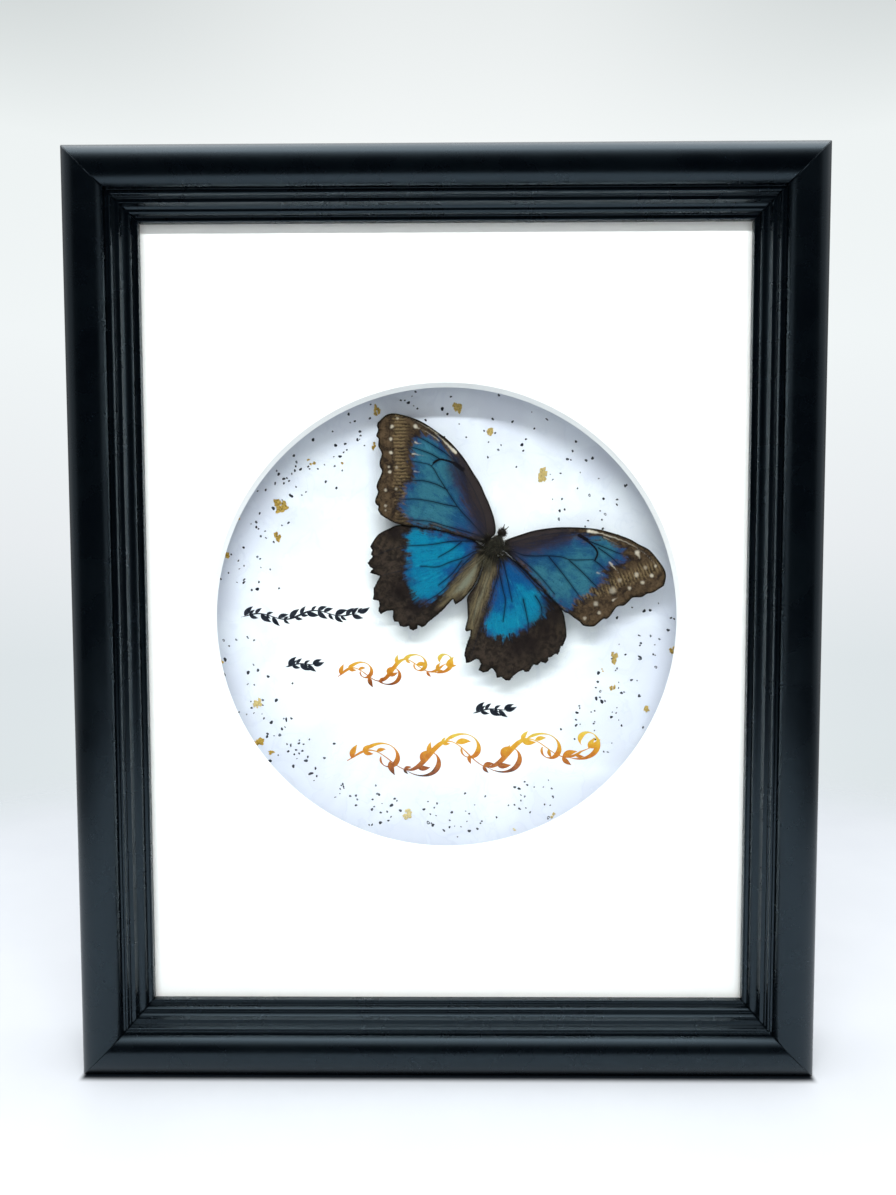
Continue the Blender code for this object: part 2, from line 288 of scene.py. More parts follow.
class Shape:
    """Points in millimetres, faces and per-point values, gathered until they make one mesh."""

    def __init__(self) -> None:
        """Starts with nothing."""
        self.points: list[Array] = []
        self.faces: list[tuple[int, ...]] = []
        self.finish_of: list[int] = []
        self.values: dict[str, list[Array]] = {}
        self.count = 0

    def add(self, points: Array, faces: Iterable[Sequence[int]], finish: int = 0, **values: Array) -> None:
        """Adds a part of the mesh.

        Args:
            points: Its points, (x, depth, z).
            faces: Its faces, each a list of indices into these points.
            finish: Which of the piece's finishes its faces take.
            **values: A value, or three, for each point, under the attribute's name.
        """
        made = [tuple(int(i) + self.count for i in face) for face in faces]
        self.faces += made
        self.finish_of += [finish] * len(made)
        self.points.append(np.asarray(points, float))
        for name, value in values.items():
            self.values.setdefault(name, []).append(np.asarray(value, float))
        self.count += len(points)

    def loft(self, rings: Sequence[Array], caps: bool = True, finish: int = 0, **values: Array) -> None:
        """Adds a skin over closed rings of equally many points.

        Args:
            rings: The rings, in order.
            caps: Whether the first and last ring are filled.
            finish: Which of the piece's finishes it takes.
            **values: A value, or three, for each point, under the attribute's name.
        """
        size = len(rings[0])
        faces = []
        for i in range(len(rings) - 1):
            for j in range(size):
                k = (j + 1) % size
                faces.append((i * size + j, i * size + k, (i + 1) * size + k, (i + 1) * size + j))
        if caps:
            faces.append(tuple(reversed(range(size))))
            faces.append(tuple(range((len(rings) - 1) * size, len(rings) * size)))
        self.add(np.vstack(rings), faces, finish, **values)

    def ribbon(self, line: Array, widths: Array, depth: float, thick: float, **values: Array) -> None:
        """Adds a flat stroke of varying width that faces the glass.

        Args:
            line: Its middle line, (x, z).
            widths: Its width at each of the line's points.
            depth: How far back its face lies.
            thick: How thick it is.
            **values: A value for each of the line's points, under the attribute's name.
        """
        ahead = np.gradient(line, axis=0)
        ahead /= np.maximum(np.linalg.norm(ahead, axis=1, keepdims=True), 1e-9)
        aside = np.stack([-ahead[:, 1], ahead[:, 0]], axis=1) * widths[:, None] / 2
        levels = np.array([depth, depth + thick, depth + thick, depth])
        rings = []
        for spot, offset in zip(line, aside):
            left, right = spot + offset, spot - offset
            rings.append(facing(np.array([left, left, right, right]), levels))
        self.loft(rings, **{name: np.repeat(value, 4, axis=0) for name, value in values.items()})

    def make(
        self, name: str, slot: Slot, finishes: Sequence[Material], replaced: Sequence[str] = (),
        sharp_deg: float | None = None,
    ) -> Object:
        """Turns what was gathered into a piece that rides on the frame.

        Args:
            name: The piece's name.
            slot: Its material slot, which is logged with it.
            finishes: Its materials, in the order that add() numbers them.
            replaced: The CAD nodes that it stands for.
            sharp_deg: The angle over which an edge stays sharp, or None for all smooth.

        Returns:
            The new object.
        """
        mesh = bpy.data.meshes.new(name)
        points = np.vstack(self.points)
        points[:, 1] += FRONT
        mesh.from_pydata((points * MM).tolist(), [], self.faces)
        for key, parts in self.values.items():
            value = np.concatenate(parts)
            kind, part = ("FLOAT_VECTOR", "vector") if value.ndim == 2 else ("FLOAT", "value")
            attribute = mesh.attributes.new(key, kind, "POINT")
            attribute.data.foreach_set(part, value.astype(np.float32).ravel())
        for finish in finishes:
            mesh.materials.append(finish)
        mesh.polygons.foreach_set("material_index", self.finish_of)
        mesh.shade_smooth()
        if sharp_deg is not None:
            mesh.set_sharp_from_angle(angle=radians(sharp_deg))
        mesh.update()
        made = bpy.data.objects.new(name, mesh)
        bpy.context.scene.collection.objects.link(made)
        return settle(made, slot, replaced)


def settle(piece: Object, slot: Slot, replaced: Sequence[str] = ()) -> Object:
    """Fixes a piece to the frame, logs its material slot, and hides the CAD nodes it stands for.

    Args:
        piece: The piece.
        slot: Its material slot.
        replaced: The CAD nodes it stands for.

    Returns:
        The same piece.
    """
    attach(piece, "root")
    if replaced:
        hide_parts(*replaced)
    log.info("%s: %d faces, %s", piece.name, len(piece.data.polygons), slot.value)
    return piece


def softened(node: str, name: str, slot: Slot, finish: Material, ease: float) -> Object:
    """Stands in for a CAD node with the same shape, its edges eased.

    Args:
        node: The CAD node.
        name: The new piece's name.
        slot: Its material slot, which is logged with it.
        finish: Its material.
        ease: How far back from each edge the easing starts, in millimetres.

    Returns:
        The new object.
    """
    bm = bmesh.new()
    bm.from_mesh(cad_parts[node].data)
    bmesh.ops.remove_doubles(bm, verts=bm.verts, dist=0.004 * MM)
    flat = radians(1.0)
    bmesh.ops.dissolve_limit(bm, angle_limit=flat, verts=bm.verts, edges=bm.edges)
    sharp = radians(30)
    edges = [e for e in bm.edges if len(e.link_faces) == 2 and e.calc_face_angle() > sharp]
    bmesh.ops.bevel(bm, geom=edges, offset=ease * MM, segments=3, profile=0.5, affect="EDGES")
    mesh = bpy.data.meshes.new(name)
    bm.to_mesh(mesh)
    bm.free()
    mesh.materials.append(finish)
    mesh.shade_smooth()
    mesh.set_sharp_from_angle(angle=radians(50))
    made = bpy.data.objects.new(name, mesh)
    bpy.context.scene.collection.objects.link(made)
    return settle(made, slot, [node])


# Finishes


class Nodes:
    """A node tree, with short names for the nodes that the finishes and the studio share."""

    def __init__(self, tree: bpy.types.NodeTree) -> None:
        """Takes the tree that it adds nodes to."""
        self.tree = tree

    def node(self, kind: str, **settings: object) -> bpy.types.Node:
        """Adds a node of a kind and sets its properties."""
        made = self.tree.nodes.new(kind)
        for key, value in settings.items():
            setattr(made, key, value)
        return made

    def feed(self, socket: Socket, value: object) -> None:
        """Links a socket to another one, or sets its own value."""
        if isinstance(value, Socket):
            self.tree.links.new(value, socket)
        else:
            socket.default_value = value

    def place(self, x: float = 1.0, y: float = 1.0, z: float = 1.0) -> Socket:
        """The place on the object in millimetres, each axis multiplied by its own share."""
        where = self.node("ShaderNodeTexCoord").outputs["Object"]
        return self.scaled(where, x / MM, y / MM, z / MM)

    def scaled(self, vector: Socket, x: float, y: float, z: float) -> Socket:
        """A vector with each of its parts multiplied."""
        made = self.node("ShaderNodeVectorMath", operation="MULTIPLY")
        self.feed(made.inputs[0], vector)
        made.inputs[1].default_value = (x, y, z)
        return made.outputs["Vector"]

    def stored(self, name: str) -> Socket:
        """A per-point value that the mesh carries."""
        return self.node("ShaderNodeAttribute", attribute_name=name).outputs["Fac"]

    def stored_vector(self, name: str) -> Socket:
        """Three per-point values that the mesh carries."""
        return self.node("ShaderNodeAttribute", attribute_name=name).outputs["Vector"]

    def noise(
        self, vector: Socket, scale: float, detail: float = 4.0, rough: float = 0.5,
        distortion: float = 0.0,
    ) -> Socket:
        """Fractal noise from 0 to 1, its scale in patches to a millimetre.

        Args:
            vector: Where to look.
            scale: Patches to a millimetre.
            detail: How many finer layers it has.
            rough: How strong those are.
            distortion: How far it is bent.

        Returns:
            The noise.
        """
        made = self.node("ShaderNodeTexNoise", noise_dimensions="3D")
        self.feed(made.inputs["Vector"], vector)
        for key, value in (("Scale", scale), ("Detail", detail), ("Roughness", rough)):
            made.inputs[key].default_value = value
        made.inputs["Distortion"].default_value = distortion
        return made.outputs["Fac"]

    def cells(self, vector: Socket, scale: float) -> bpy.types.Node:
        """A field of scattered cells, for flecks and pores."""
        made = self.node("ShaderNodeTexVoronoi", feature="F1")
        self.feed(made.inputs["Vector"], vector)
        made.inputs["Scale"].default_value = scale
        return made

    def maths(self, operation: str, first: object, second: object = 0.0) -> Socket:
        """One sum, product or the like of two values."""
        made = self.node("ShaderNodeMath", operation=operation)
        self.feed(made.inputs[0], first)
        self.feed(made.inputs[1], second)
        return made.outputs[0]

    def plus(self, first: object, second: object) -> Socket:
        """The sum of two values."""
        return self.maths("ADD", first, second)

    def times(self, first: object, second: object) -> Socket:
        """The product of two values."""
        return self.maths("MULTIPLY", first, second)

    def step(
        self, value: object, low: float, high: float, start: float = 0.0, end: float = 1.0
    ) -> Socket:
        """Goes smoothly from start where value is low to end where it is high.

        Args:
            value: What is measured.
            low: Where the change begins.
            high: Where it ends.
            start: The result up to low.
            end: The result from high on.

        Returns:
            The changed value.
        """
        made = self.node("ShaderNodeMapRange", interpolation_type="SMOOTHSTEP")
        self.feed(made.inputs["Value"], value)
        for key, number in (("From Min", low), ("From Max", high), ("To Min", start), ("To Max", end)):
            made.inputs[key].default_value = number
        return made.outputs["Result"]

    def spread(self, noise: Socket, start: float, end: float) -> Socket:
        """Turns a noise's usual run, 0.2 to 0.8, into start to end."""
        return self.step(noise, 0.2, 0.8, start, end)

    def ramp(self, factor: object, stops: Stops) -> Socket:
        """Colours along a value.

        Args:
            factor: The value.
            stops: Places along it and their colours.

        Returns:
            The colour.
        """
        made = self.node("ShaderNodeValToRGB")
        elements = made.color_ramp.elements
        while len(elements) < len(stops):
            elements.new(0.5)
        for element, (position, colour) in zip(elements, stops):
            element.position = position
            element.color = colour
        self.feed(made.inputs["Fac"], factor)
        return made.outputs["Color"]

    def blend(self, factor: object, first: object, second: object, how: str = "MIX") -> Socket:
        """Mixes two colours.

        Args:
            factor: How much of the second.
            first: One colour.
            second: The other.
            how: How they are mixed.

        Returns:
            The mixed colour.
        """
        made = self.node("ShaderNodeMix", data_type="RGBA", blend_type=how, clamp_factor=True)
        self.feed(made.inputs[0], factor)
        self.feed(made.inputs[6], first)
        self.feed(made.inputs[7], second)
        return made.outputs[2]

    def bump(self, height: object, distance: float, under: object = None) -> Socket:
        """A normal from a height that reaches this distance in millimetres, over another normal.

        Args:
            height: The height, from 0 to 1.
            distance: Its reach in millimetres.
            under: The normal beneath it.

        Returns:
            The new normal.
        """
        made = self.node("ShaderNodeBump")
        made.inputs["Strength"].default_value = 1.0
        made.inputs["Distance"].default_value = distance * MM
        self.feed(made.inputs["Height"], height)
        if under is not None:
            self.feed(made.inputs["Normal"], under)
        return made.outputs["Normal"]

    def shaders(self, factor: object, first: bpy.types.Node, second: bpy.types.Node) -> None:
        """Mixes two shaders, the second where the factor is 1, and makes them the surface.

        Args:
            factor: How much of the second.
            first: One shader.
            second: The other.
        """
        either = self.node("ShaderNodeMixShader")
        self.feed(either.inputs["Fac"], factor)
        self.feed(either.inputs[1], first.outputs["BSDF"])
        self.feed(either.inputs[2], second.outputs["BSDF"])
        self.feed(self.tree.nodes["Material Output"].inputs["Surface"], either.outputs["Shader"])


class Recipe(Nodes):
    """One material's node tree, round a Principled shader."""

    def __init__(self, name: str) -> None:
        """Makes a material of this name."""
        self.material = bpy.data.materials.new(name)
        self.material.use_nodes = True
        super().__init__(self.material.node_tree)
        self.shader = self.tree.nodes["Principled BSDF"]

    def set(self, **inputs: object) -> None:
        """Feeds the shader's sockets, named in small letters with underscores."""
        names = {socket.name.lower().replace(" ", "_"): socket for socket in self.shader.inputs}
        for key, value in inputs.items():
            self.feed(names[key], value)


@dataclass(frozen=True)
class BlackLacquer:
    """Satin black lacquer sprayed on a wooden moulding, a little worn along its arrises."""

    body: Colour = (0.0004, 0.0009, 0.0016, 1.0)
    haze: Colour = (0.0009, 0.0017, 0.0026, 1.0)
    gloss: Colour = (0.62, 0.84, 1.0, 1.0)
    rubbed: Colour = (0.012, 0.009, 0.008, 1.0)
    roughness: float = 0.27

    def make(self) -> Material:
        """Builds the material."""
        mix = Recipe("satin_black_lacquer")
        run = mix.stored_vector("grain")
        cloud = mix.noise(run, 0.045, 5.0, 0.6)
        streak = mix.noise(mix.scaled(run, 0.03, 1.4, 1.4), 1.0, 3.0, 0.5)
        skin = mix.noise(run, 0.9, 2.0, 0.4)
        chips = mix.step(mix.noise(run, 0.7, 6.0, 0.7), 0.60, 0.70)
        wear = mix.times(mix.stored("arris"), chips)
        tone = mix.blend(mix.step(cloud, 0.35, 0.7), self.body, self.haze)
        tone = mix.blend(mix.times(wear, 0.25), tone, self.rubbed)
        rough = mix.plus(mix.spread(cloud, -0.02, 0.03), self.roughness)
        rough = mix.plus(rough, mix.times(wear, 0.06))
        peel = mix.bump(skin, 0.0035)
        grain = mix.bump(streak, 0.0010, peel)
        mix.set(base_color=tone, roughness=rough, normal=grain, ior=1.52, specular_tint=self.gloss)
        return mix.material


@dataclass(frozen=True)
class BarePine:
    """The moulding's unpainted back, its outer edge dusted by the spray."""

    early: Colour = display(205, 172, 124)
    late: Colour = display(160, 118, 72)
    overspray: Colour = (0.012, 0.012, 0.012, 1.0)

    def make(self) -> Material:
        """Builds the material."""
        mix = Recipe("bare_pine")
        run = mix.stored_vector("grain")
        rings = mix.noise(mix.scaled(run, 0.012, 0.55, 0.55), 1.0, 4.0, 0.6, 0.6)
        fibre = mix.noise(mix.scaled(run, 0.09, 5.0, 5.0), 1.0, 5.0, 0.7)
        tone = mix.blend(mix.step(rings, 0.35, 0.65), self.early, self.late)
        tone = mix.blend(mix.step(fibre, 0.3, 0.8, 0.0, 0.45), tone, display(120, 84, 48), "MIX")
        speckle = mix.noise(run, 1.6, 5.0, 0.75)
        reach = mix.plus(mix.stored("spray"), mix.spread(speckle, -0.34, 0.34))
        mist = mix.step(reach, 0.42, 0.75)
        tone = mix.blend(mist, tone, self.overspray)
        height = mix.plus(fibre, mix.times(rings, 0.6))
        mix.set(base_color=tone, roughness=mix.spread(fibre, 0.62, 0.82), normal=mix.bump(height, 0.10))
        return mix.material


@dataclass(frozen=True)
class ClearGlass:
    """Float glass that lets the light through to what it covers."""

    tint: Colour = (0.985, 0.995, 0.99, 1.0)

    def make(self) -> Material:
        """Builds the material: glass to the eye, and clear to the light that falls through it."""
        mix = Recipe("picture_glass")
        ripple = mix.noise(mix.place(), 0.012, 2.0)
        mix.set(
            base_color=self.tint, roughness=0.0, ior=1.45, transmission_weight=1.0,
            normal=mix.bump(ripple, 0.02),
        )
        clear = mix.node("ShaderNodeBsdfTransparent")
        clear.inputs["Color"].default_value = (0.97, 0.98, 0.975, 1.0)
        mix.shaders(mix.node("ShaderNodeLightPath").outputs["Is Camera Ray"], clear, mix.shader)
        return mix.material


@dataclass(frozen=True)
class Paper:
    """White board faced with paper: the mat's face, its cut core, and the strips behind it."""

    name: str
    colour: Colour
    fibre: float
    roughness: float = 0.85

    def make(self) -> Material:
        """Builds the material."""
        mix = Recipe(self.name)
        where = mix.place()
        felt = mix.noise(where, 1.3, 6.0, 0.65)
        cloud = mix.noise(where, 0.03, 3.0)
        shade = tuple(0.94 * part for part in self.colour[:3]) + (1.0,)
        tone = mix.blend(mix.step(cloud, 0.3, 0.75, 0.0, 0.6), self.colour, shade)
        tone = mix.blend(mix.step(felt, 0.62, 0.85, 0.0, 0.25), tone, display(214, 212, 206))
        mix.set(
            base_color=tone, roughness=mix.spread(felt, self.roughness - 0.05, self.roughness + 0.05),
            specular_ior_level=0.3, normal=mix.bump(felt, self.fibre),
        )
        return mix.material


@dataclass(frozen=True)
class Watercolour:
    """Pale blue washes printed on smooth paper, deeper towards the edge of the round opening."""

    centre: Vector
    reach: float
    heart: Colour = display(247, 252, 254)
    sky: Colour = display(238, 244, 249)
    rim: Colour = display(215, 220, 233)

    def make(self) -> Material:
        """Builds the material."""
        mix = Recipe("watercolour_wash")
        where = mix.place()
        away = mix.node("ShaderNodeVectorMath", operation="DISTANCE")
        mix.feed(away.inputs[0], mix.scaled(where, 1.0, 0.0, 1.0))
        away.inputs[1].default_value = (self.centre.x, 0.0, self.centre.z)
        drift = mix.noise(where, 0.022, 5.0, 0.55, 0.8)
        bloom = mix.noise(where, 0.055, 3.0, 0.5, 1.2)
        grain = mix.noise(where, 2.4, 4.0, 0.6)
        spread = mix.plus(away.outputs["Value"], mix.step(drift, 0.25, 0.75, 22.0, -22.0))
        tone = mix.ramp(
            mix.step(spread, 0.25 * self.reach, 1.12 * self.reach),
            [(0.0, self.heart), (0.45, self.sky), (1.0, self.rim)],
        )
        tone = mix.blend(mix.step(bloom, 0.50, 0.56, 0.0, 0.30), tone, display(224, 231, 243))
        edge = mix.times(mix.step(bloom, 0.485, 0.50), mix.step(bloom, 0.53, 0.505))
        tone = mix.blend(mix.times(edge, 0.14), tone, display(188, 200, 222))
        tone = mix.blend(mix.step(grain, 0.5, 0.8, 0.0, 0.10), tone, display(200, 210, 224))
        mix.set(
            base_color=tone, roughness=mix.spread(grain, 0.5, 0.62), specular_ior_level=0.35,
            normal=mix.bump(grain, 0.02),
        )
        return mix.material


@dataclass(frozen=True)
class PrintInk:
    """Blue-black ink, thinner and greyer where the value "thin" is high."""

    name: str = "navy_ink"
    full: Colour = display(16, 22, 34)
    weak: Colour = display(104, 112, 122)

    def make(self) -> Material:
        """Builds the material."""
        mix = Recipe(self.name)
        where = mix.place()
        pool = mix.noise(where, 1.6, 3.0, 0.6)
        thin = mix.plus(mix.stored("thin"), mix.step(pool, 0.3, 0.8, -0.10, 0.22))
        tone = mix.blend(mix.step(thin, 0.0, 1.0), self.full, self.weak)
        mix.set(base_color=tone, roughness=mix.spread(pool, 0.42, 0.6), normal=mix.bump(pool, 0.015))
        return mix.material


@dataclass(frozen=True)
class GoldLeaf:
    """Broken gold leaf, crumpled, with the board showing through where it is thin."""

    bright: Colour = display(244, 208, 104)
    deep: Colour = display(186, 138, 36)
    tarnish: Colour = display(104, 78, 24)

    def make(self) -> Material:
        """Builds the material."""
        mix = Recipe("gold_leaf")
        where = mix.place()
        crease = mix.noise(where, 1.5, 6.0, 0.7, 0.8)
        blot = mix.noise(where, 0.8, 3.0, 0.6)
        tone = mix.blend(mix.step(crease, 0.35, 0.65), self.deep, self.bright)
        tone = mix.blend(mix.step(blot, 0.5, 0.72, 0.0, 0.75), tone, self.tarnish)
        tone = mix.blend(mix.stored("pale"), tone, display(226, 214, 160))
        mix.set(
            base_color=tone, metallic=mix.step(mix.stored("pale"), 0.0, 1.0, 0.55, 0.2),
            roughness=mix.step(crease, 0.3, 0.7, 0.24, 0.48), normal=mix.bump(crease, 0.12),
        )
        return mix.material


@dataclass(frozen=True)
class PrintedGold:
    """Gold printed as a fade, yellow at the top of an ornament and burnt brown at its foot."""

    def make(self) -> Material:
        """Builds the material."""
        mix = Recipe("printed_gold")
        where = mix.place()
        cloud = mix.noise(where, 0.35, 4.0, 0.6)
        fleck = mix.noise(where, 3.0, 3.0, 0.7)
        rise = mix.plus(mix.stored("rise"), mix.spread(cloud, -0.16, 0.16))
        tone = mix.ramp(
            rise,
            [
                (0.0, display(58, 26, 14)), (0.16, display(140, 68, 18)), (0.42, display(192, 112, 26)),
                (0.72, display(222, 164, 44)), (1.0, display(228, 200, 84)),
            ],
        )
        tone = mix.blend(mix.step(fleck, 0.55, 0.75, 0.0, 0.35), tone, display(246, 222, 140))
        mix.set(
            base_color=tone, metallic=mix.step(cloud, 0.3, 0.8, 0.05, 0.35),
            roughness=mix.spread(fleck, 0.36, 0.55), normal=mix.bump(fleck, 0.01),
        )
        return mix.material


@dataclass(frozen=True)
class WingScales:
    """The scales of a wing: blue that turns greener or deeper, brown margins, pale marks and veins, and
    painted highlights on the blue.
    """

    name: str
    teal: Colour = display(50, 108, 126)
    blue: Colour = display(24, 70, 110)
    violet: Colour = display(40, 56, 104)
    # The colour of a painted highlight that some rays of the blue turn to.
    painted_glint: Colour = display(60, 124, 148)
    umber: Colour = display(32, 25, 20)
    hazel: Colour = display(82, 66, 48)
    row: Colour = display(134, 116, 80)
    cream: Colour = display(196, 188, 170)
    fringe: Colour = display(14, 12, 10)
    dusk: Colour = display(44, 38, 38)
    straw: Colour = display(98, 88, 66)
    sage: Colour = display(112, 116, 102)
    row_depth: float = 10.3
    row_pitch: float = 1.5
    row_strength: float = 0.5

    def base(self, mix: Recipe, where: Socket) -> Socket:
        """The brown ground, with its row of short streaks inside the margin.

        Args:
            mix: The material's tree.
            where: The place in millimetres.

        Returns:
            The colour.
        """
        mottle = mix.noise(where, 0.42, 6.0, 0.68, 0.4)
        dots = mix.noise(where, 1.7, 4.0, 0.7)
        tone = mix.blend(mix.step(mottle, 0.32, 0.68), self.umber, self.hazel)
        tone = mix.blend(mix.step(dots, 0.5, 0.8, 0.0, 0.45), tone, self.umber)
        sway = mix.plus(mix.stored("along"), mix.spread(mottle, -0.5, 0.5))
        pace = mix.times(sway, 2 * pi / self.row_pitch)
        beat = mix.step(mix.maths("SINE", pace), -0.7, 0.9)
        drift = mix.plus(mix.stored("inboard"), mix.spread(mottle, -2.0, 2.0))
        near, far = self.row_depth - 4.4, self.row_depth + 4.4
        belt = mix.times(mix.step(drift, near, near + 3.0), mix.step(drift, far, far - 3.4))
        broken = mix.times(beat, mix.step(dots, 0.25, 0.6, 0.25, 1.0))
        streaks = mix.times(belt, broken)
        return mix.blend(mix.times(streaks, self.row_strength), tone, self.row)

    def make(self) -> Material:
        """Builds the material."""
        mix = Recipe(self.name)
        where = mix.place()
        wobble = mix.noise(where, 0.30, 5.0, 0.62)
        fine = mix.noise(where, 1.4, 5.0, 0.7)
        scales = mix.noise(where, 6.5, 3.0, 0.6)
        edge = mix.stored("edge")
        vein = mix.stored("vein")
        ground = self.base(mix, where)
        ground = mix.blend(mix.stored("dusk"), ground, self.dusk)
        rays = mix.noise(mix.stored_vector("fan"), 1.0, 5.0, 0.62)
        bound = mix.plus(mix.stored("patch"), mix.spread(wobble, -1.2, 1.2))
        bound = mix.plus(bound, mix.step(rays, 0.25, 0.75, -2.2, 2.2))
        bound = mix.plus(bound, mix.spread(fine, -0.8, 0.8))
        rim = mix.times(mix.step(bound, -4.2, -0.8), mix.step(mix.stored("patch"), 1.0, -1.0))
        ground = mix.blend(mix.times(rim, 0.62), ground, display(20, 15, 13))
        shine = mix.blend(mix.stored("dusk"), mix.step(bound, -1.3, 2.0), mix.step(bound, -5.0, 8.0))
        pool = mix.plus(mix.stored("teal"), mix.step(wobble, 0.25, 0.75, -0.25, 0.25))
        deep = mix.step(bound, -0.2, 4.6)
        blue = mix.blend(deep, self.violet, self.blue)
        blue = mix.blend(mix.step(pool, 0.10, 0.95), blue, self.teal)
        worn = mix.step(fine, 0.58, 0.78, 0.0, 0.45)
        blue = mix.blend(worn, blue, display(10, 38, 60))
        blue = mix.blend(mix.step(rays, 0.50, 0.70, 0.0, 0.62), blue, self.blue)
        # Painted highlight: along some of the rays the blue turns to the paler glint colour.
        blue = mix.blend(mix.step(rays, 0.46, 0.30, 0.0, 0.50), blue, self.painted_glint)
        # Painted highlight: single scales are lightened to a pale teal.
        blue = mix.blend(mix.step(scales, 0.52, 0.76, 0.0, 0.45), blue, display(84, 140, 158))
        blue = mix.blend(mix.times(mix.stored("dusk"), 0.72), blue, display(34, 38, 66))
        pepper = mix.step(mix.noise(where, 1.9, 5.0, 0.8), 0.55, 0.68, 0.0, 0.75)
        blue = mix.blend(pepper, blue, display(8, 22, 36))
        blue = mix.blend(mix.step(vein, 6.0, 1.0, 0.0, 0.42), blue, display(8, 30, 52))
        tone = mix.blend(shine, ground, blue)
        straw = mix.blend(mix.step(rays, 0.40, 0.66), self.straw, display(58, 50, 38))
        straw = mix.blend(mix.step(mix.stored("straw"), 1.6, 4.2, 0.0, 0.75), straw, self.sage)
        straw = mix.blend(mix.step(fine, 0.48, 0.72, 0.0, 0.7), straw, display(62, 56, 44))
        thatch = mix.plus(mix.stored("straw"), mix.spread(fine, -1.1, 1.1))
        tone = mix.blend(mix.step(thatch, -1.4, 1.4), tone, straw)
        tone = mix.blend(mix.times(mix.stored("shade"), 0.85), tone, display(20, 15, 15))
        line = mix.step(mix.plus(vein, mix.spread(fine, -0.35, 0.35)), 1.35, 0.55)
        line = mix.times(line, mix.step(shine, 0.0, 1.0, 0.45, 0.92))
        tone = mix.blend(line, tone, display(10, 20, 34))
        bar = mix.step(mix.plus(mix.stored("bar"), mix.spread(fine, -0.25, 0.25)), 0.05, 0.5)
        tone = mix.blend(bar, tone, display(14, 12, 16))
        pale = mix.times(mix.stored("pale"), mix.step(fine, 0.22, 0.55, 0.55, 1.0))
        tone = mix.blend(pale, tone, self.cream)
        rough_edge = mix.plus(edge, mix.spread(fine, -0.55, 0.55))
        tone = mix.blend(mix.step(rough_edge, 1.15, 0.30, 0.0, 0.92), tone, self.fringe)
        dull = mix.times(shine, mix.step(line, 0.0, 1.0, 1.0, 0.2))
        height = mix.plus(mix.times(scales, 0.5), fine)
        mix.set(
            base_color=tone, metallic=mix.times(dull, 0.30),
            roughness=mix.step(dull, 0.0, 1.0, 0.78, 0.46), specular_ior_level=0.15, sheen_weight=0.03,
            sheen_roughness=0.4, normal=mix.bump(height, 0.014),
        )
        return mix.material


@dataclass(frozen=True)
class Fur:
    """Hair and the skin under it: olive-black, with paler hairs where the value "pale" is high."""

    name: str = "body_hair"
    dark: Colour = display(17, 16, 12)
    fair: Colour = display(104, 98, 78)

    def make(self) -> Material:
        """Builds the material."""
        mix = Recipe(self.name)
        where = mix.place()
        tuft = mix.noise(where, 1.8, 5.0, 0.7)
        share = mix.plus(mix.stored("pale"), mix.step(tuft, 0.25, 0.8, -0.12, 0.2))
        tone = mix.blend(mix.step(share, 0.0, 1.0), self.dark, self.fair)
        mix.set(
            base_color=tone, roughness=mix.spread(tuft, 0.5, 0.75), sheen_weight=0.05,
            sheen_roughness=0.5, specular_ior_level=0.2, normal=mix.bump(tuft, 0.2),
        )
        return mix.material


@dataclass(frozen=True)
class Horn:
    """The black horn of eyes, palps and antennae."""

    name: str
    roughness: float
    colour: Colour = display(14, 12, 11)

    def make(self) -> Material:
        """Builds the material."""
        mix = Recipe(self.name)
        where = mix.place()
        facets = mix.cells(where, 9.0).outputs["Distance"]
        cloud = mix.noise(where, 2.0, 3.0)
        tone = mix.blend(mix.step(cloud, 0.3, 0.8), self.colour, display(46, 36, 26))
        mix.set(
            base_color=tone, roughness=mix.spread(cloud, self.roughness, self.roughness + 0.15),
            normal=mix.bump(facets, 0.03),
        )
        return mix.material


@dataclass(frozen=True)
class Hardboard:
    """Brown hardboard: pressed fibres, a few dark ones, and handling marks."""

    pale: Colour = display(150, 112, 74)
    dark: Colour = display(112, 78, 48)

    def make(self) -> Material:
        """Builds the material."""
        mix = Recipe("hardboard")
        where = mix.place()
        felt = mix.noise(where, 0.9, 6.0, 0.75, 0.6)
        cloud = mix.noise(where, 0.018, 4.0, 0.6)
        strands = mix.noise(mix.scaled(where, 0.5, 1.0, 3.2), 1.2, 3.0, 0.7, 1.5)
        tone = mix.blend(mix.step(felt, 0.3, 0.7), self.dark, self.pale)
        tone = mix.blend(mix.step(strands, 0.62, 0.70, 0.0, 0.6), tone, display(74, 48, 28))
        tone = mix.blend(mix.step(cloud, 0.5, 0.75, 0.0, 0.35), tone, display(168, 132, 92))
        rub = mix.step(mix.noise(where, 0.05, 2.0, 0.5, 2.0), 0.45, 0.75)
        mix.set(
            base_color=tone, roughness=mix.plus(mix.times(rub, 0.22), 0.48), normal=mix.bump(felt, 0.06),
        )
        return mix.material


@dataclass(frozen=True)
class ZincPlate:
    """Bright zinc on pressed steel, with rolling lines, fingerprints and a little white bloom."""

    bright: Colour = display(206, 208, 206)
    dull: Colour = display(150, 152, 152)

    def make(self) -> Material:
        """Builds the material."""
        mix = Recipe("zinc_plate")
        where = mix.place()
        rolled = mix.noise(mix.scaled(where, 0.12, 4.0, 4.0), 1.0, 4.0, 0.7)
        smear = mix.noise(where, 0.22, 4.0, 0.6, 0.8)
        tone = mix.blend(mix.step(smear, 0.35, 0.75), self.bright, self.dull)
        bloom = mix.step(mix.noise(where, 0.9, 5.0, 0.7), 0.62, 0.74, 0.0, 0.6)
        tone = mix.blend(bloom, tone, display(196, 196, 186))
        rough = mix.plus(mix.spread(smear, 0.22, 0.36), mix.times(bloom, 0.3))
        mix.set(
            base_color=tone, metallic=mix.maths("SUBTRACT", 1.0, mix.times(bloom, 0.7)), roughness=rough,
            normal=mix.bump(rolled, 0.02),
        )
        return mix.material


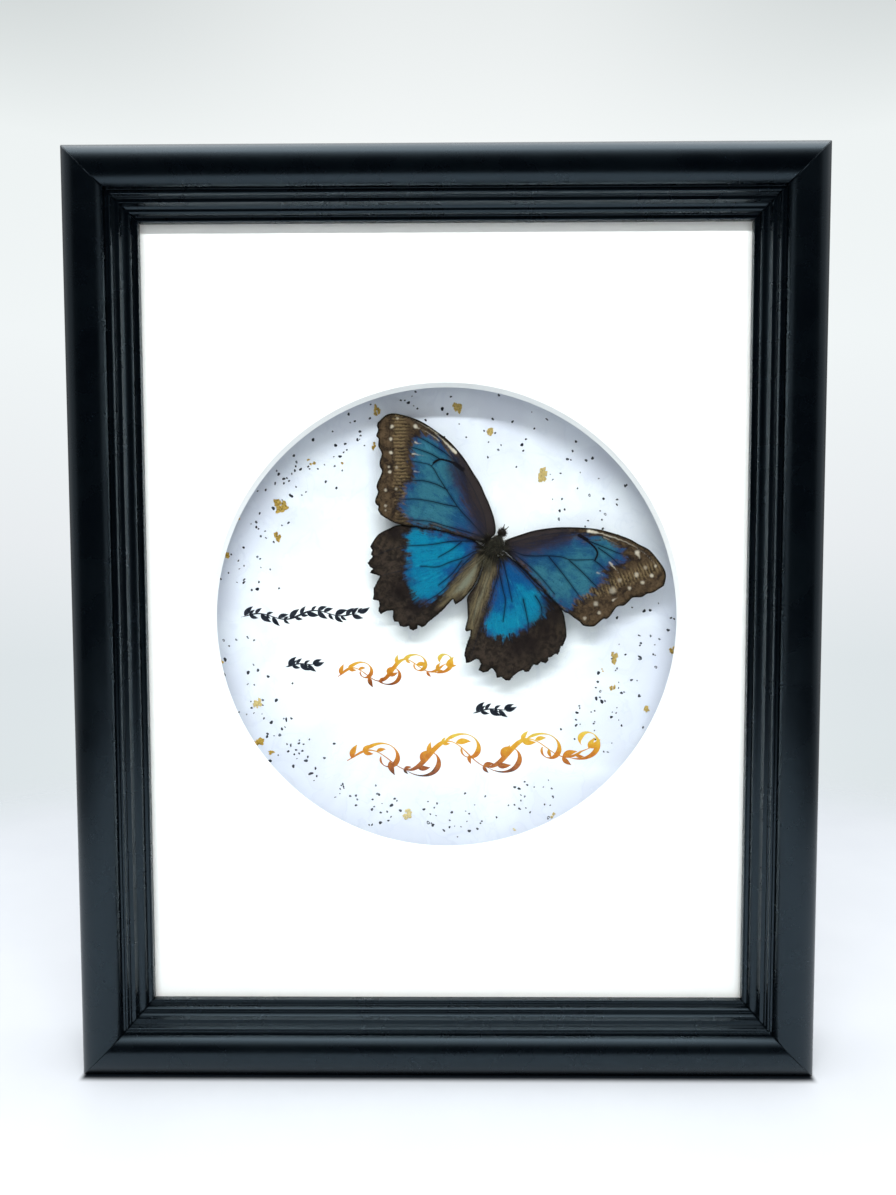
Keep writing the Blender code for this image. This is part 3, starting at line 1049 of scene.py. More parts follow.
@dataclass(frozen=True)
class Cork:
    """Pressed cork: pale granules with dark pores."""

    granule: Colour = display(186, 138, 88)
    pore: Colour = display(84, 52, 28)

    def make(self) -> Material:
        """Builds the material."""
        mix = Recipe("pressed_cork")
        where = mix.place()
        cell = mix.cells(where, 1.3)
        pores = mix.step(mix.noise(where, 1.8, 5.0, 0.7), 0.55, 0.68)
        tone = mix.blend(mix.step(cell.outputs["Distance"], 0.1, 0.6), self.granule, display(150, 104, 62))
        tone = mix.blend(pores, tone, self.pore)
        rough = mix.step(pores, 0.0, 1.0, 0.75, 0.9)
        mix.set(base_color=tone, roughness=rough, normal=mix.bump(pores, -0.15))
        return mix.material


# The frame's own pieces


@dataclass
class Moulding:
    """Four mitred lengths of moulding: a broad cushion, a bead, a fillet, a cove and an ovolo."""

    width: float
    height: float
    depth: float
    face: float = 28.0
    lip_back: float = 18.5
    rabbet_wall: float = 20.5
    mitre_gap: float = 0.02
    mitre_ease: float = 0.16
    ease: float = 0.22
    stations: int = 14
    spray_reach: float = 9.0
    steps: dict[str, int] = field(default_factory=lambda: {"cushion": 22, "bead": 10, "ovolo": 12})

    def front_line(self) -> list[Point]:
        """The painted line: up the outer side, over the mouldings and down the sight edge.

        Returns:
            Points (distance in from the outer side, depth).
        """
        cushion = self.steps["cushion"]
        line = [(0.0, self.depth)]
        line += arc((9.2, 6.2), (9.2, 6.2), 180, 270, cushion)
        line += arc((9.2, 6.8), (8.6, 6.8), 270, 344, cushion)[1:]
        line += [(17.6, 6.5), (18.5, 6.7)]
        line += arc((19.25, 6.6), (0.65, 0.7), 200, 340, self.steps["bead"])
        line += [(20.1, 7.5), (20.5, 7.6), (20.7, 8.7), (22.3, 8.9)]
        line += flowing([(22.5, 10.3), (23.0, 11.4), (23.8, 12.1)], 0.25).tolist()
        line += arc((24.2, 14.3), (1.7, 2.0), 270, 360, self.steps["ovolo"])
        line += [(26.0, 15.4), (27.3, 15.7), (27.6, 15.4), (28.0, 15.7), (self.face, self.lip_back)]
        return [(float(u), float(t)) for u, t in line]

    def eased(self, line: Sequence[Point]) -> tuple[Array, Array]:
        """Rounds each sharp turn of a line, and puts points along its long spans.

        Args:
            line: The line.

        Returns:
            The new line, and how near each of its points is to a sharp turn, from 0 to 1.
        """
        points = np.array(line, float)
        out = [points[0]]
        near = [0.6]
        for before, here, after in zip(points, points[1:], points[2:]):
            back, ahead = before - here, after - here
            back_length, ahead_length = np.linalg.norm(back), np.linalg.norm(ahead)
            turn = pi - acos(float(np.clip(back @ ahead / (back_length * ahead_length), -1, 1)))
            if turn < radians(24):
                out.append(here)
                near.append(0.0)
                continue
            cut = min(self.ease, 0.4 * back_length, 0.4 * ahead_length)
            start = here + back / back_length * cut
            end = here + ahead / ahead_length * cut
            for share in (0.0, 0.33, 0.67, 1.0):
                out.append((1 - share) ** 2 * start + 2 * share * (1 - share) * here + share**2 * end)
                near.append(1.0)
        out.append(points[-1])
        near.append(0.6)
        full, values = [out[0]], [near[0]]
        for (start, end), (first, last) in zip(zip(out, out[1:]), zip(near, near[1:])):
            parts = max(1, ceil(np.linalg.norm(end - start) / 1.3))
            for k in range(1, parts + 1):
                full.append(start + (end - start) * k / parts)
                values.append(last if k == parts else 0.0)
        return np.array(full), np.array(values)

    def build(self, lacquer: Material, wood: Material) -> None:
        """Makes the four rails.

        Args:
            lacquer: The finish of all that was painted.
            wood: The finish of the rabbet and the back.
        """
        painted, arris = self.eased(self.front_line())
        back_line = [
            (self.face, self.lip_back), (self.rabbet_wall, self.lip_back), (self.rabbet_wall, self.depth),
            (0.0, self.depth),
        ]
        bare, _ = self.eased(back_line)
        ring = np.vstack([painted, bare[1:-1]])
        worn = np.concatenate([arris * (painted[:, 1] > self.depth / 2), np.zeros(len(bare) - 2)])
        spray = np.clip(1 - ring[:, 0] / self.spray_reach, 0, 1) * (ring[:, 1] > self.depth - 0.5)
        spray = np.where(ring[:, 1] < self.lip_back + 1.5, np.clip((ring[:, 0] - 24) / 4, 0, 1), spray)
        half_w, half_h = self.width / 2, self.height / 2
        for name, along, out, reach, length in (
            ("bottom", (1, 0), (0, -1), half_h, half_w), ("top", (-1, 0), (0, 1), half_h, half_w),
            ("left", (0, -1), (-1, 0), half_w, half_h), ("right", (0, 1), (1, 0), half_w, half_h),
        ):
            rings, grains = [], []
            shares = np.linspace(-1, 1, self.stations + 1)
            core = ring.mean(axis=0)
            inward = core - ring
            inward *= self.mitre_ease / np.linalg.norm(inward, axis=1, keepdims=True)
            last = self.stations + 4
            for order, share in enumerate([-1, -1, *shares, 1, 1]):
                from_end = min(order, last - order)
                line = ring + inward if from_end == 0 else ring
                short = self.mitre_gap + self.mitre_ease * (0, 1.4, 4.0)[min(from_end, 2)]
                run = share * (length - line[:, 0] - short)
                x = out[0] * (reach - line[:, 0]) + along[0] * run
                z = out[1] * (reach - line[:, 0]) + along[1] * run + half_h
                rings.append(np.stack([x, line[:, 1], z], axis=1))
                grains.append(np.stack([run + 500 * reach, line[:, 0], line[:, 1]], axis=1))
            shape = Shape()
            count = len(rings)
            shape.loft(
                rings, grain=np.vstack(grains), arris=np.tile(worn, count), spray=np.tile(spray, count),
            )
            size = len(ring)
            for index in range(len(shape.faces)):
                bare_side = index % size >= len(painted) - 1 and index < size * (count - 1)
                shape.finish_of[index] = 1 if bare_side else 0
            shape.make(f"moulding_{name}", Slot.FRAME, [lacquer, wood], [f"rail_{name}"], 38)


@dataclass
class RoundMat:
    """The mat board: its white face, and the round hole with its bevelled core."""

    segments: int = 240
    arris: float = 0.12

    def hole(self) -> tuple[Vector, float, float]:
        """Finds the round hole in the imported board.

        Returns:
            Its centre, and its radius at the back and at the front, in millimetres.
        """
        low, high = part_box("mat_board")
        inner = [
            v.co / MM
            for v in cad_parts["mat_board"].data.vertices
            if low.x + 0.01 < v.co.x < high.x - 0.01 and low.z + 0.01 < v.co.z < high.z - 0.01
        ]
        xs = [p.x for p in inner]
        zs = [p.z for p in inner]
        centre = Vector(((min(xs) + max(xs)) / 2, 0.0, (min(zs) + max(zs)) / 2))
        radii = [hypot(p.x - centre.x, p.z - centre.z) for p in inner]
        return centre, min(radii), max(radii)

    def build(self, face: Material, core: Material) -> None:
        """Makes the board.

        Args:
            face: The finish of its paper faces.
            core: The finish of its cut edges.
        """
        low, high = (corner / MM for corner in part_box("mat_board"))
        near, far = low.y - FRONT, high.y - FRONT
        centre, small, large = self.hole()
        turn = turns(self.segments)
        spoke = np.stack([np.cos(turn), np.sin(turn)], axis=1)
        hub = np.array([centre.x, centre.z])
        sides = np.where(spoke > 0, np.array([high.x, high.z]) - hub, np.array([low.x, low.z]) - hub)
        stretch = np.min(np.abs(sides) / np.maximum(np.abs(spoke), 1e-9), axis=1)
        corners = np.array([(low.x, low.z), (low.x, high.z), (high.x, low.z), (high.x, high.z)])
        border = hub + spoke * stretch[:, None]
        for corner in corners:
            border[np.argmin(np.linalg.norm(border - corner, axis=1))] = corner

        def at(radius: float, depth: float) -> Array:
            """A ring round the hole, as points (x, depth, z)."""
            return facing(hub + spoke * radius, depth)

        ease = self.arris
        rings = [
            facing(border, far), facing(border, near), at(large + 9.0, near), at(large + ease, near),
            at(large - 0.3 * ease, near + 0.3 * ease), at(large - ease, near + 1.1 * ease),
            at(small + 0.4 * ease, far - 0.4 * ease), at(small + 0.1 * ease, far), at(small + 8.0, far),
        ]
        shape = Shape()
        shape.loft(rings, caps=False)
        last = (len(rings) - 1) * self.segments
        for j in range(self.segments):
            k = (j + 1) % self.segments
            shape.faces.append((last + j, last + k, k, j))
            shape.finish_of.append(0)
        for index in range(4 * self.segments, 7 * self.segments):
            shape.finish_of[index] = 1
        shape.make("round_mat", Slot.MAT, [face, core], ["mat_board"], 35)


@dataclass
class Splatter:
    """Ink specks and flecks of gold leaf on the printed sheet, in a loose ring."""

    centre: Vector
    depth: float
    specks: tuple[tuple[float, float, float, float, int], ...] = (
        (127, 13, 93, 11, 34), (147, 9, 91, 12, 20), (163, 9, 93, 10, 22), (193, 9, 97, 7, 14),
        (217, 14, 94, 9, 46), (252, 15, 94, 8, 42), (286, 17, 94, 8, 40), (326, 13, 84, 12, 34),
        (350, 14, 90, 14, 34), (40, 16, 84, 18, 34), (80, 18, 90, 15, 32), (105, 8, 100, 5, 8),
    )
    leaf: tuple[tuple[float, float, float, float, float], ...] = (
        (-31, 94, 2.8, 4.2, 0.1), (-33, 78, 1.9, 3.3, 0.0), (5, 96, 3.3, 5.1, 0.3),
        (20, 83, 2.8, 4.6, 0.4), (-61, 71, 3.8, 2.6, 0.2), (-75, 51, 5.4, 4.8, 0.1),
        (-95, 46, 2.6, 3.0, 0.0), (-77, 37, 3.0, 4.2, 0.1), (-101, 30, 3.3, 4.2, 0.0),
        (44, 65, 4.6, 5.6, 0.5), (77, -19, 2.6, 5.0, 0.3), (76, -32, 2.6, 4.6, 0.2),
        (92, -42, 3.2, 3.2, 0.3), (103, -15, 3.4, 3.2, 0.1), (49, -92, 2.2, 2.8, 0.4),
        (31, -98, 2.2, 2.2, 0.7), (-105, -20, 4.0, 3.4, 0.0), (-87, -39, 3.4, 4.4, 0.6),
        (-87, -58, 4.0, 4.0, 0.0), (-81, -62, 3.4, 2.4, 0.0), (-18, -91, 3.6, 3.8, 0.7),
        (72, -24, 2.2, 1.8, 0.1), (-47, 70, 2.0, 2.4, 0.1),
    )
    ink_height: float = 0.03
    leaf_height: float = 0.25
    seed: int = 41

    def place_specks(self, ink: Material) -> None:
        """Throws the ink: round drops, drawn-out ones and a few rings.

        Args:
            ink: The ink's finish.
        """
        draw = np.random.default_rng(self.seed)
        shape = Shape()
        for bearing, spread, reach, drift, count in self.specks:
            for _ in range(count):
                angle = radians(bearing + spread * draw.uniform(-1, 1))
                away = min(reach + drift * draw.normal() * 0.62, 106.0)
                hub = np.array([away * cos(angle), away * sin(angle)])
                radius = float(np.clip(draw.lognormal(-0.78, 0.28), 0.28, 0.8))
                self.drop(shape, draw, hub, radius)
        shape.make("ink_specks", Slot.PAPER, [ink], sharp_deg=50)

    def drop(self, shape: Shape, draw: Chance, hub: Array, radius: float) -> None:
        """Adds one drop of ink.

        Args:
            shape: What it is added to.
            draw: The source of chance.
            hub: Its middle, from the middle of the hole.
            radius: Its mean radius.
        """
        sides = 14
        turn = turns(sides)
        kind = draw.random()
        long_axis = draw.uniform(1.25, 1.6) if kind > 0.86 else draw.uniform(1.0, 1.15)
        lean = draw.uniform(0, pi)
        wobble = 1 + 0.16 * np.sin(2 * turn + draw.uniform(0, 6))
        wobble += 0.10 * np.sin(3 * turn + draw.uniform(0, 6))
        flat = np.stack([np.cos(turn) * long_axis, np.sin(turn) / sqrt(long_axis)], axis=1)
        flat *= (radius * wobble)[:, None]
        spin = np.array([[cos(lean), -sin(lean)], [sin(lean), cos(lean)]])
        flat = flat @ spin.T
        grey = 0.7 if draw.random() < 0.12 else draw.uniform(0.0, 0.25)
        hollow = 0.06 < kind < 0.14 and radius > 0.45
        levels = [(1.0, 0.0), (0.93, self.ink_height), (0.5 if hollow else 0.4, self.ink_height)]
        if hollow:
            levels.append((0.42, 0.0))
        middle_of_hole = np.array([self.centre.x, self.centre.z])
        rings = []
        for share, height in levels:
            rings.append(facing(flat * share + hub + middle_of_hole, self.depth - height))
        if hollow:
            rings.append(rings[0])
        shape.loft(rings, caps=not hollow, thin=np.full(sides * len(rings), grey))

    def lay_leaf(self, gold: Material) -> None:
        """Lays the flecks of gold leaf, each torn and crumpled.

        Args:
            gold: The leaf's finish.
        """
        draw = np.random.default_rng(self.seed + 1)
        shape = Shape()
        sides = 22
        turn = turns(sides)
        middle_of_hole = np.array([self.centre.x, self.centre.z])
        for x, z, wide, tall, pale in self.leaf:
            crumbs = int(np.clip(round(wide * tall / 2.2), 2, 8))
            for crumb in range(crumbs):
                shift = draw.uniform(-0.5, 0.5, 2) * np.array([wide, tall]) * 0.82
                size = draw.uniform(0.16, 0.34)
                torn = np.ones(sides)
                for lobes, swing in ((2, 0.17), (3, 0.15), (5, 0.12)):
                    torn += swing * np.sin(lobes * turn + draw.uniform(0, 6))
                torn += 0.10 * draw.normal(size=sides)
                flat = np.stack([np.cos(turn) * wide, np.sin(turn) * tall], axis=1) * (size * torn)[:, None]
                rings, under = [], []
                for share in (1.0, 0.72, 0.45, 0.16):
                    spot = flat * share + shift + np.array([x, z])
                    crumple = 0.5 + 0.5 * waves(spot, 0.9, self.seed + crumb)
                    lift = self.leaf_height * (0.15 + 0.85 * crumple) * (0.25 if share == 1.0 else 1.0)
                    lift += 0.02 * crumb
                    rings.append(facing(spot + middle_of_hole, self.depth - 0.02 - np.maximum(lift, 0.02)))
                    under.append(rings[-1] + np.array([0, 0.018, 0]))
                stack = list(reversed(under)) + rings
                shape.loft(stack, pale=np.full(sides * len(stack), pale))
        shape.make("gold_leaf_flecks", Slot.PAPER, [gold])


@dataclass
class Flourish:
    """A scrolling sprig with curls and leaves, drawn with a broad pen."""

    start: Point
    end: Point
    sway: float
    swings: int
    curl: float
    leaf: float
    leaves: int
    pen: float
    hairline: float = 0.42
    nib_deg: float = 62.0
    thick: float = 0.03

    def widths(self, line: Array) -> Array:
        """The pen's width along a line: broad on the strokes across its nib, fine along it.

        Args:
            line: The line's points.

        Returns:
            Its width at each.
        """
        ahead = np.gradient(line, axis=0)
        heading = np.arctan2(ahead[:, 1], ahead[:, 0])
        broad = np.abs(np.sin(heading - radians(self.nib_deg - 90))) ** 2.2
        share = np.linspace(0, 1, len(line))
        taper = np.clip(np.minimum(share, 1 - share) * 9, 0.12, 1) ** 0.7
        return (self.hairline + (self.pen - self.hairline) * broad) * taper

    def stem(self) -> Array:
        """The main line, swinging from side to side."""
        start, end = np.array(self.start), np.array(self.end)
        share = np.linspace(0, 1, 40 * self.swings)
        ahead = (end - start) / np.linalg.norm(end - start)
        aside = np.array([-ahead[1], ahead[0]])
        swell = self.sway * (0.35 + 0.65 * np.sin(pi * np.clip(share * 1.04, 0, 1)) ** 0.6)
        swing = swell * np.sin(pi * self.swings * share)
        return start + np.outer(share, end - start) + np.outer(swing, aside)

    def tendril(self, root: Array, heading: float, way: int, size: float) -> Array:
        """A curl that leaves the stem and winds in.

        Args:
            root: Where it leaves the stem.
            heading: Its first direction, in radians.
            way: 1 to wind to the left, -1 to the right.
            size: Its largest radius.

        Returns:
            Its line.
        """
        turn = np.linspace(0, 1, 60)
        tightness = (0.35 + 2.1 * turn**1.2) / size
        step = 4.4 * size / 60
        headings = heading + way * np.cumsum(tightness) * step
        return root + np.cumsum(np.stack([np.cos(headings), np.sin(headings)], axis=1) * step, axis=0)

    def leaf_line(self, root: Array, heading: float, length: float, way: int) -> tuple[Array, Array]:
        """A leaf as a short bent stroke, widest a third of the way along.

        Args:
            root: Where its stalk starts.
            heading: Its direction, in radians.
            length: Its length.
            way: Which way it bends, 1 or -1.

        Returns:
            Its line, and its widths.
        """
        share = np.linspace(0, 1, 18)
        headings = heading + way * 0.55 * share
        line = root + np.cumsum(np.stack([np.cos(headings), np.sin(headings)], axis=1) * length / 18, axis=0)
        return line, 0.05 + 0.36 * length * np.sin(pi * share**0.72) ** 1.15

    def draw(self, shape: Shape, centre: Vector, depth: float) -> None:
        """Adds the whole sprig.

        Args:
            shape: What it is added to.
            centre: The middle of the hole, which its places are measured from.
            depth: The depth of the sheet's face.
        """
        stem = self.stem()
        strokes = [(stem, self.widths(stem))]
        ahead = np.gradient(stem, axis=0)
        headings = np.arctan2(ahead[:, 1], ahead[:, 0])
        for swing in range(self.swings):
            at = min(len(stem) - 2, int(len(stem) * (swing + 0.42) / self.swings))
            way = -1 if swing % 2 == 0 else 1
            if self.curl > 0:
                line = self.tendril(stem[at], headings[at] - way * 0.35, way, self.curl)
                strokes.append((line, self.widths(line)))
        for k, at in enumerate(np.linspace(4, len(stem) - 3, self.leaves).astype(int)):
            way = 1 if k % 2 == 0 else -1
            length = self.leaf * (0.75 + 0.25 * sin(2.4 * k + 1.0))
            strokes.append(self.leaf_line(stem[at], headings[at] + way * 0.85, length, -way))
            if k % 3 == 1:
                strokes.append(self.leaf_line(stem[at], headings[at] - way * 0.75, 0.8 * length, way))
        strokes.append(self.leaf_line(stem[-2], headings[-2], 0.9 * self.leaf, 1))
        levels = np.concatenate([line[:, 1] for line, _ in strokes])
        foot, top = levels.min(), levels.max()
        for k, (line, widths) in enumerate(strokes):
            place = line + np.array([centre.x, centre.z])
            rise = (line[:, 1] - foot) / (top - foot)
            face = depth - self.thick - 0.002 * k
            shape.ribbon(place, widths, face, self.thick, rise=rise, thin=np.full(len(line), 0.05))


@dataclass
class PrintedSheet:
    """The sheet behind the butterfly: washes, ink, gold leaf, and sprigs where words could stand."""

    centre: Vector
    hole_radius: float
    ink_sprigs: tuple[Flourish, ...] = (
        Flourish((-94, 0.5), (-40, 2.5), 1.8, 4, 0.0, 6.6, 21, 1.3),
        Flourish((-74, -22.5), (-61, -21.5), 1.0, 1, 0.0, 6.2, 7, 1.2),
        Flourish((12, -44), (27, -42.5), 1.2, 1, 0.0, 6.6, 7, 1.2),
    )
    gold_sprigs: tuple[Flourish, ...] = (
        Flourish((-50, -27), (0, -21), 4.4, 4, 5.2, 5.6, 12, 1.9),
        Flourish((-46, -66), (66, -60), 6.6, 6, 7.8, 7.6, 19, 2.5),
    )

    def build(self) -> None:
        """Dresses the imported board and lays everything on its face."""
        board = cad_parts["print_board"]
        board.data.materials.clear()
        board.data.materials.append(Watercolour(self.centre, self.hole_radius).make())
        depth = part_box("print_board")[0].y / MM - FRONT
        ink = PrintInk().make()
        splatter = Splatter(self.centre, depth)
        splatter.place_specks(ink)
        splatter.lay_leaf(GoldLeaf().make())
        for name, sprigs, finish in (
            ("ink_sprigs", self.ink_sprigs, ink), ("gold_sprigs", self.gold_sprigs, PrintedGold().make()),
        ):
            shape = Shape()
            for sprig in sprigs:
                sprig.draw(shape, self.centre, depth)
            shape.make(name, Slot.PAPER, [finish], sharp_deg=50)


# The butterfly


@dataclass
class Wing:
    """One wing: its edge, veins and markings, in millimetres right and up from the thorax."""

    name: str
    costa: Sequence[Point]
    margin: Sequence[Point]
    inner: Sequence[Point]
    veins: Sequence[Sequence[Point]]
    patch: Sequence[Point]
    teal: Sequence[tuple[float, float, float]]
    pale: Sequence[tuple[Sequence[Point], float, float]] = ()
    spots: Sequence[tuple[float, float, float, float]] = ()
    bars: Sequence[tuple[Sequence[Point], float]] = ()
    dusk: tuple[Sequence[Point], float] = (((0, 0),), 1.0)
    straw: Sequence[Point] = ()
    shade: Sequence[tuple[float, float, float]] = ()
    toothed: bool = False
    tip: Point = (0, 0)
    tip_lift: float = 0.0
    seed: int = 1
    pitch: float = 0.36
    thick: float = 0.13
    vein_root: float = 0.27
    vein_end: float = 0.15

    def edge(self) -> Array:
        """The wing's outline, as a closed ring of evenly spaced points."""
        front = flowing(self.costa, self.pitch)
        rear = flowing(self.inner, self.pitch)
        if self.toothed:
            ragged = evenly(np.array(self.margin, float), self.pitch)
            bow = 0.13 * waves(ragged, 1.1, self.seed)
            ahead = np.gradient(ragged, axis=0)
            ahead /= np.maximum(np.linalg.norm(ahead, axis=1, keepdims=True), 1e-9)
            ragged = ragged + np.stack([-ahead[:, 1], ahead[:, 0]], axis=1) * bow[:, None]
        else:
            ragged = flowing(self.margin, self.pitch)
        ring = np.vstack([front, ragged, rear])
        gap = np.linalg.norm(ring - np.roll(ring, 1, axis=0), axis=1)
        ring = ring[gap > 0.12]
        area = np.sum(ring[:, 0] * np.roll(ring[:, 1], -1) - np.roll(ring[:, 0], -1) * ring[:, 1])
        return ring if area > 0 else ring[::-1]

    def fill(self, ring: Array, lines: Sequence[Array]) -> tuple[Array, list[tuple[int, ...]], list[int]]:
        """Fills the outline with small even triangles that follow the veins.

        Args:
            ring: The outline.
            lines: The veins' lines.

        Returns:
            The points, the triangles, and where the ring's points are among the points.
        """
        draw = np.random.default_rng(self.seed)
        low, high = ring.min(axis=0), ring.max(axis=0)
        xs = np.arange(low[0], high[0], self.pitch)
        zs = np.arange(low[1], high[1], self.pitch * 0.87)
        grid = np.stack(np.meshgrid(xs, zs), axis=-1)
        grid[1::2, :, 0] += self.pitch / 2
        grid = grid.reshape(-1, 2) + draw.uniform(-0.05, 0.05, (grid.shape[0] * grid.shape[1], 2))
        deep = depth_in(grid, ring)
        grid = grid[deep > self.pitch * 0.55]
        strung = np.vstack(lines)
        strung = strung[depth_in(strung, ring) > self.pitch * 0.55]
        for line in lines:
            grid = grid[to_line(grid, line)[0] > self.pitch * 0.45]
        flat = np.vstack([ring, grid, strung])
        size = len(ring)
        edges = [(i, (i + 1) % size) for i in range(size)]
        made = delaunay_2d_cdt([Vector(p) for p in flat], edges, [], 1, 1e-4)
        points = np.array([(p.x, p.y) for p in made[0]])
        border = [-1] * size
        for new, olds in enumerate(made[3]):
            for old in olds:
                if old < size:
                    border[old] = new
        return points, [tuple(face) for face in made[2]], border

    def marks(self, points: Array, ring: Array, lines: Sequence[Array]) -> dict[str, Array]:
        """Works out the values that colour the wing.

        Args:
            points: Its points.
            ring: Its outline.
            lines: Its veins.

        Returns:
            The values, by name.
        """
        closed = np.vstack([ring, ring[:1]])
        edge, _ = to_line(points, closed)
        vein = np.full(len(points), 9.0)
        vein_mm = np.full(len(points), 9.0)
        for line in lines:
            away, share = to_line(points, line)
            vein = np.minimum(vein, away / (self.vein_root + (self.vein_end - self.vein_root) * share))
            vein_mm = np.minimum(vein_mm, away)
        jitter = np.stack([waves(points, 1.9, self.seed + 6), waves(points, 2.3, self.seed + 7)], axis=1)
        shaken = points + 0.13 * jitter
        pale = np.zeros(len(points))
        lone = [([(x, z)], half, strength) for x, z, half, strength in self.spots]
        for line, half, strength in [*self.pale, *lone]:
            away, share = to_line(shaken, flowing(line, 0.5) if len(line) > 1 else np.array(line, float))
            taper = 1 - 0.72 * smooth(0.0, 0.8, share)
            fading = strength * (1 - 0.68 * share)
            pale = np.maximum(pale, fading * smooth(0.0, 0.75, 1 - away / (half * taper)))
        bar = np.zeros(len(points))
        for line, half in self.bars:
            bar = np.maximum(bar, 1 - to_line(points, flowing(line, 0.5))[0] / half)
        root = np.hypot(points[:, 0], points[:, 1])
        shade = np.maximum(blots(points, self.shade), smooth(9.0, 3.0, root) * 0.8)
        bearing = np.arctan2(points[:, 1], points[:, 0]) % (2 * pi)
        fan = np.stack([bearing * 30.0, root * 0.16, np.full(len(points), float(self.seed))], axis=1)
        first, last = np.array(self.margin[0], float), np.array(self.margin[-1], float)
        ahead = (last - first) / np.linalg.norm(last - first)
        aside = np.array([-ahead[1], ahead[0]])
        if (points.mean(axis=0) - first) @ aside < 0:
            aside = -aside
        dusk_line, dusk_reach = self.dusk
        dusk = smooth(dusk_reach, 0.3 * dusk_reach, to_line(points, flowing(dusk_line, 1.0))[0])
        straw = depth_in(points, flowing(self.straw, 1.0)) if self.straw else np.full(len(points), -20.0)
        return {
            "edge": edge, "along": (points - first) @ ahead, "inboard": (points - first) @ aside,
            "fan": fan, "vein": vein, "vein_mm": vein_mm, "pale": pale, "bar": bar,
            "teal": blots(points, self.teal), "shade": shade, "dusk": dusk, "straw": straw,
            "patch": depth_in(points, flowing([*self.patch, self.patch[0]], 1.0)),
        }

    def relief(self, points: Array, values: dict[str, Array]) -> Array:
        """How far each point stands back from the wing's plane: ridged veins, sagging cells, curled edge.

        Args:
            points: Places in the wing's plane.
            values: The scale colouring there.

        Returns:
            The distances back.
        """
        vein, edge = values["vein_mm"], values["edge"]
        ridge = -0.13 * np.exp(-((vein / 0.42) ** 2))
        sag = 0.20 * smooth(0.3, 3.0, vein) * smooth(0.0, 3.0, edge)
        curl = 0.45 * smooth(3.2, 0.0, edge) * (0.4 + 0.6 * waves(points, 11.0, self.seed + 2))
        sway = 0.30 * waves(points, 26.0, self.seed + 3) * smooth(6.0, 24.0, np.hypot(*points.T))
        grain = 0.022 * waves(points, 1.7, self.seed + 4)
        tip = np.array(self.tip, float)
        lift = -self.tip_lift * smooth(0.45, 1.0, points @ tip / max(float(tip @ tip), 1e-9))
        return ridge + sag + curl + sway + grain + lift

    def build(self, middle_of_body: Vector, finish: Material) -> None:
        """Makes the wing.

        Args:
            middle_of_body: The middle of the thorax, in millimetres.
            finish: Its material.
        """
        ring = self.edge()
        lines = [flowing(vein, self.pitch) for vein in self.veins]
        flat, faces, border = self.fill(ring, lines)
        values = self.marks(flat, ring, lines)
        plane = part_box(self.name)[0].y / MM - FRONT
        depth = plane + self.relief(flat, values)
        del values["vein_mm"]
        face = facing(flat + np.array([middle_of_body.x, middle_of_body.z]), depth)
        count = len(face)
        both = np.vstack([face, face + np.array([0, self.thick, 0])])
        skins = list(faces) + [tuple(i + count for i in reversed(one)) for one in faces]
        for a, b in zip(border, border[1:] + border[:1]):
            if a != b:
                skins.append((a, a + count, b + count, b))
        shape = Shape()
        shape.add(both, skins, **{key: np.concatenate([value, value]) for key, value in values.items()})
        shape.make(self.name + "_scaled", Slot.WING, [finish], [self.name])


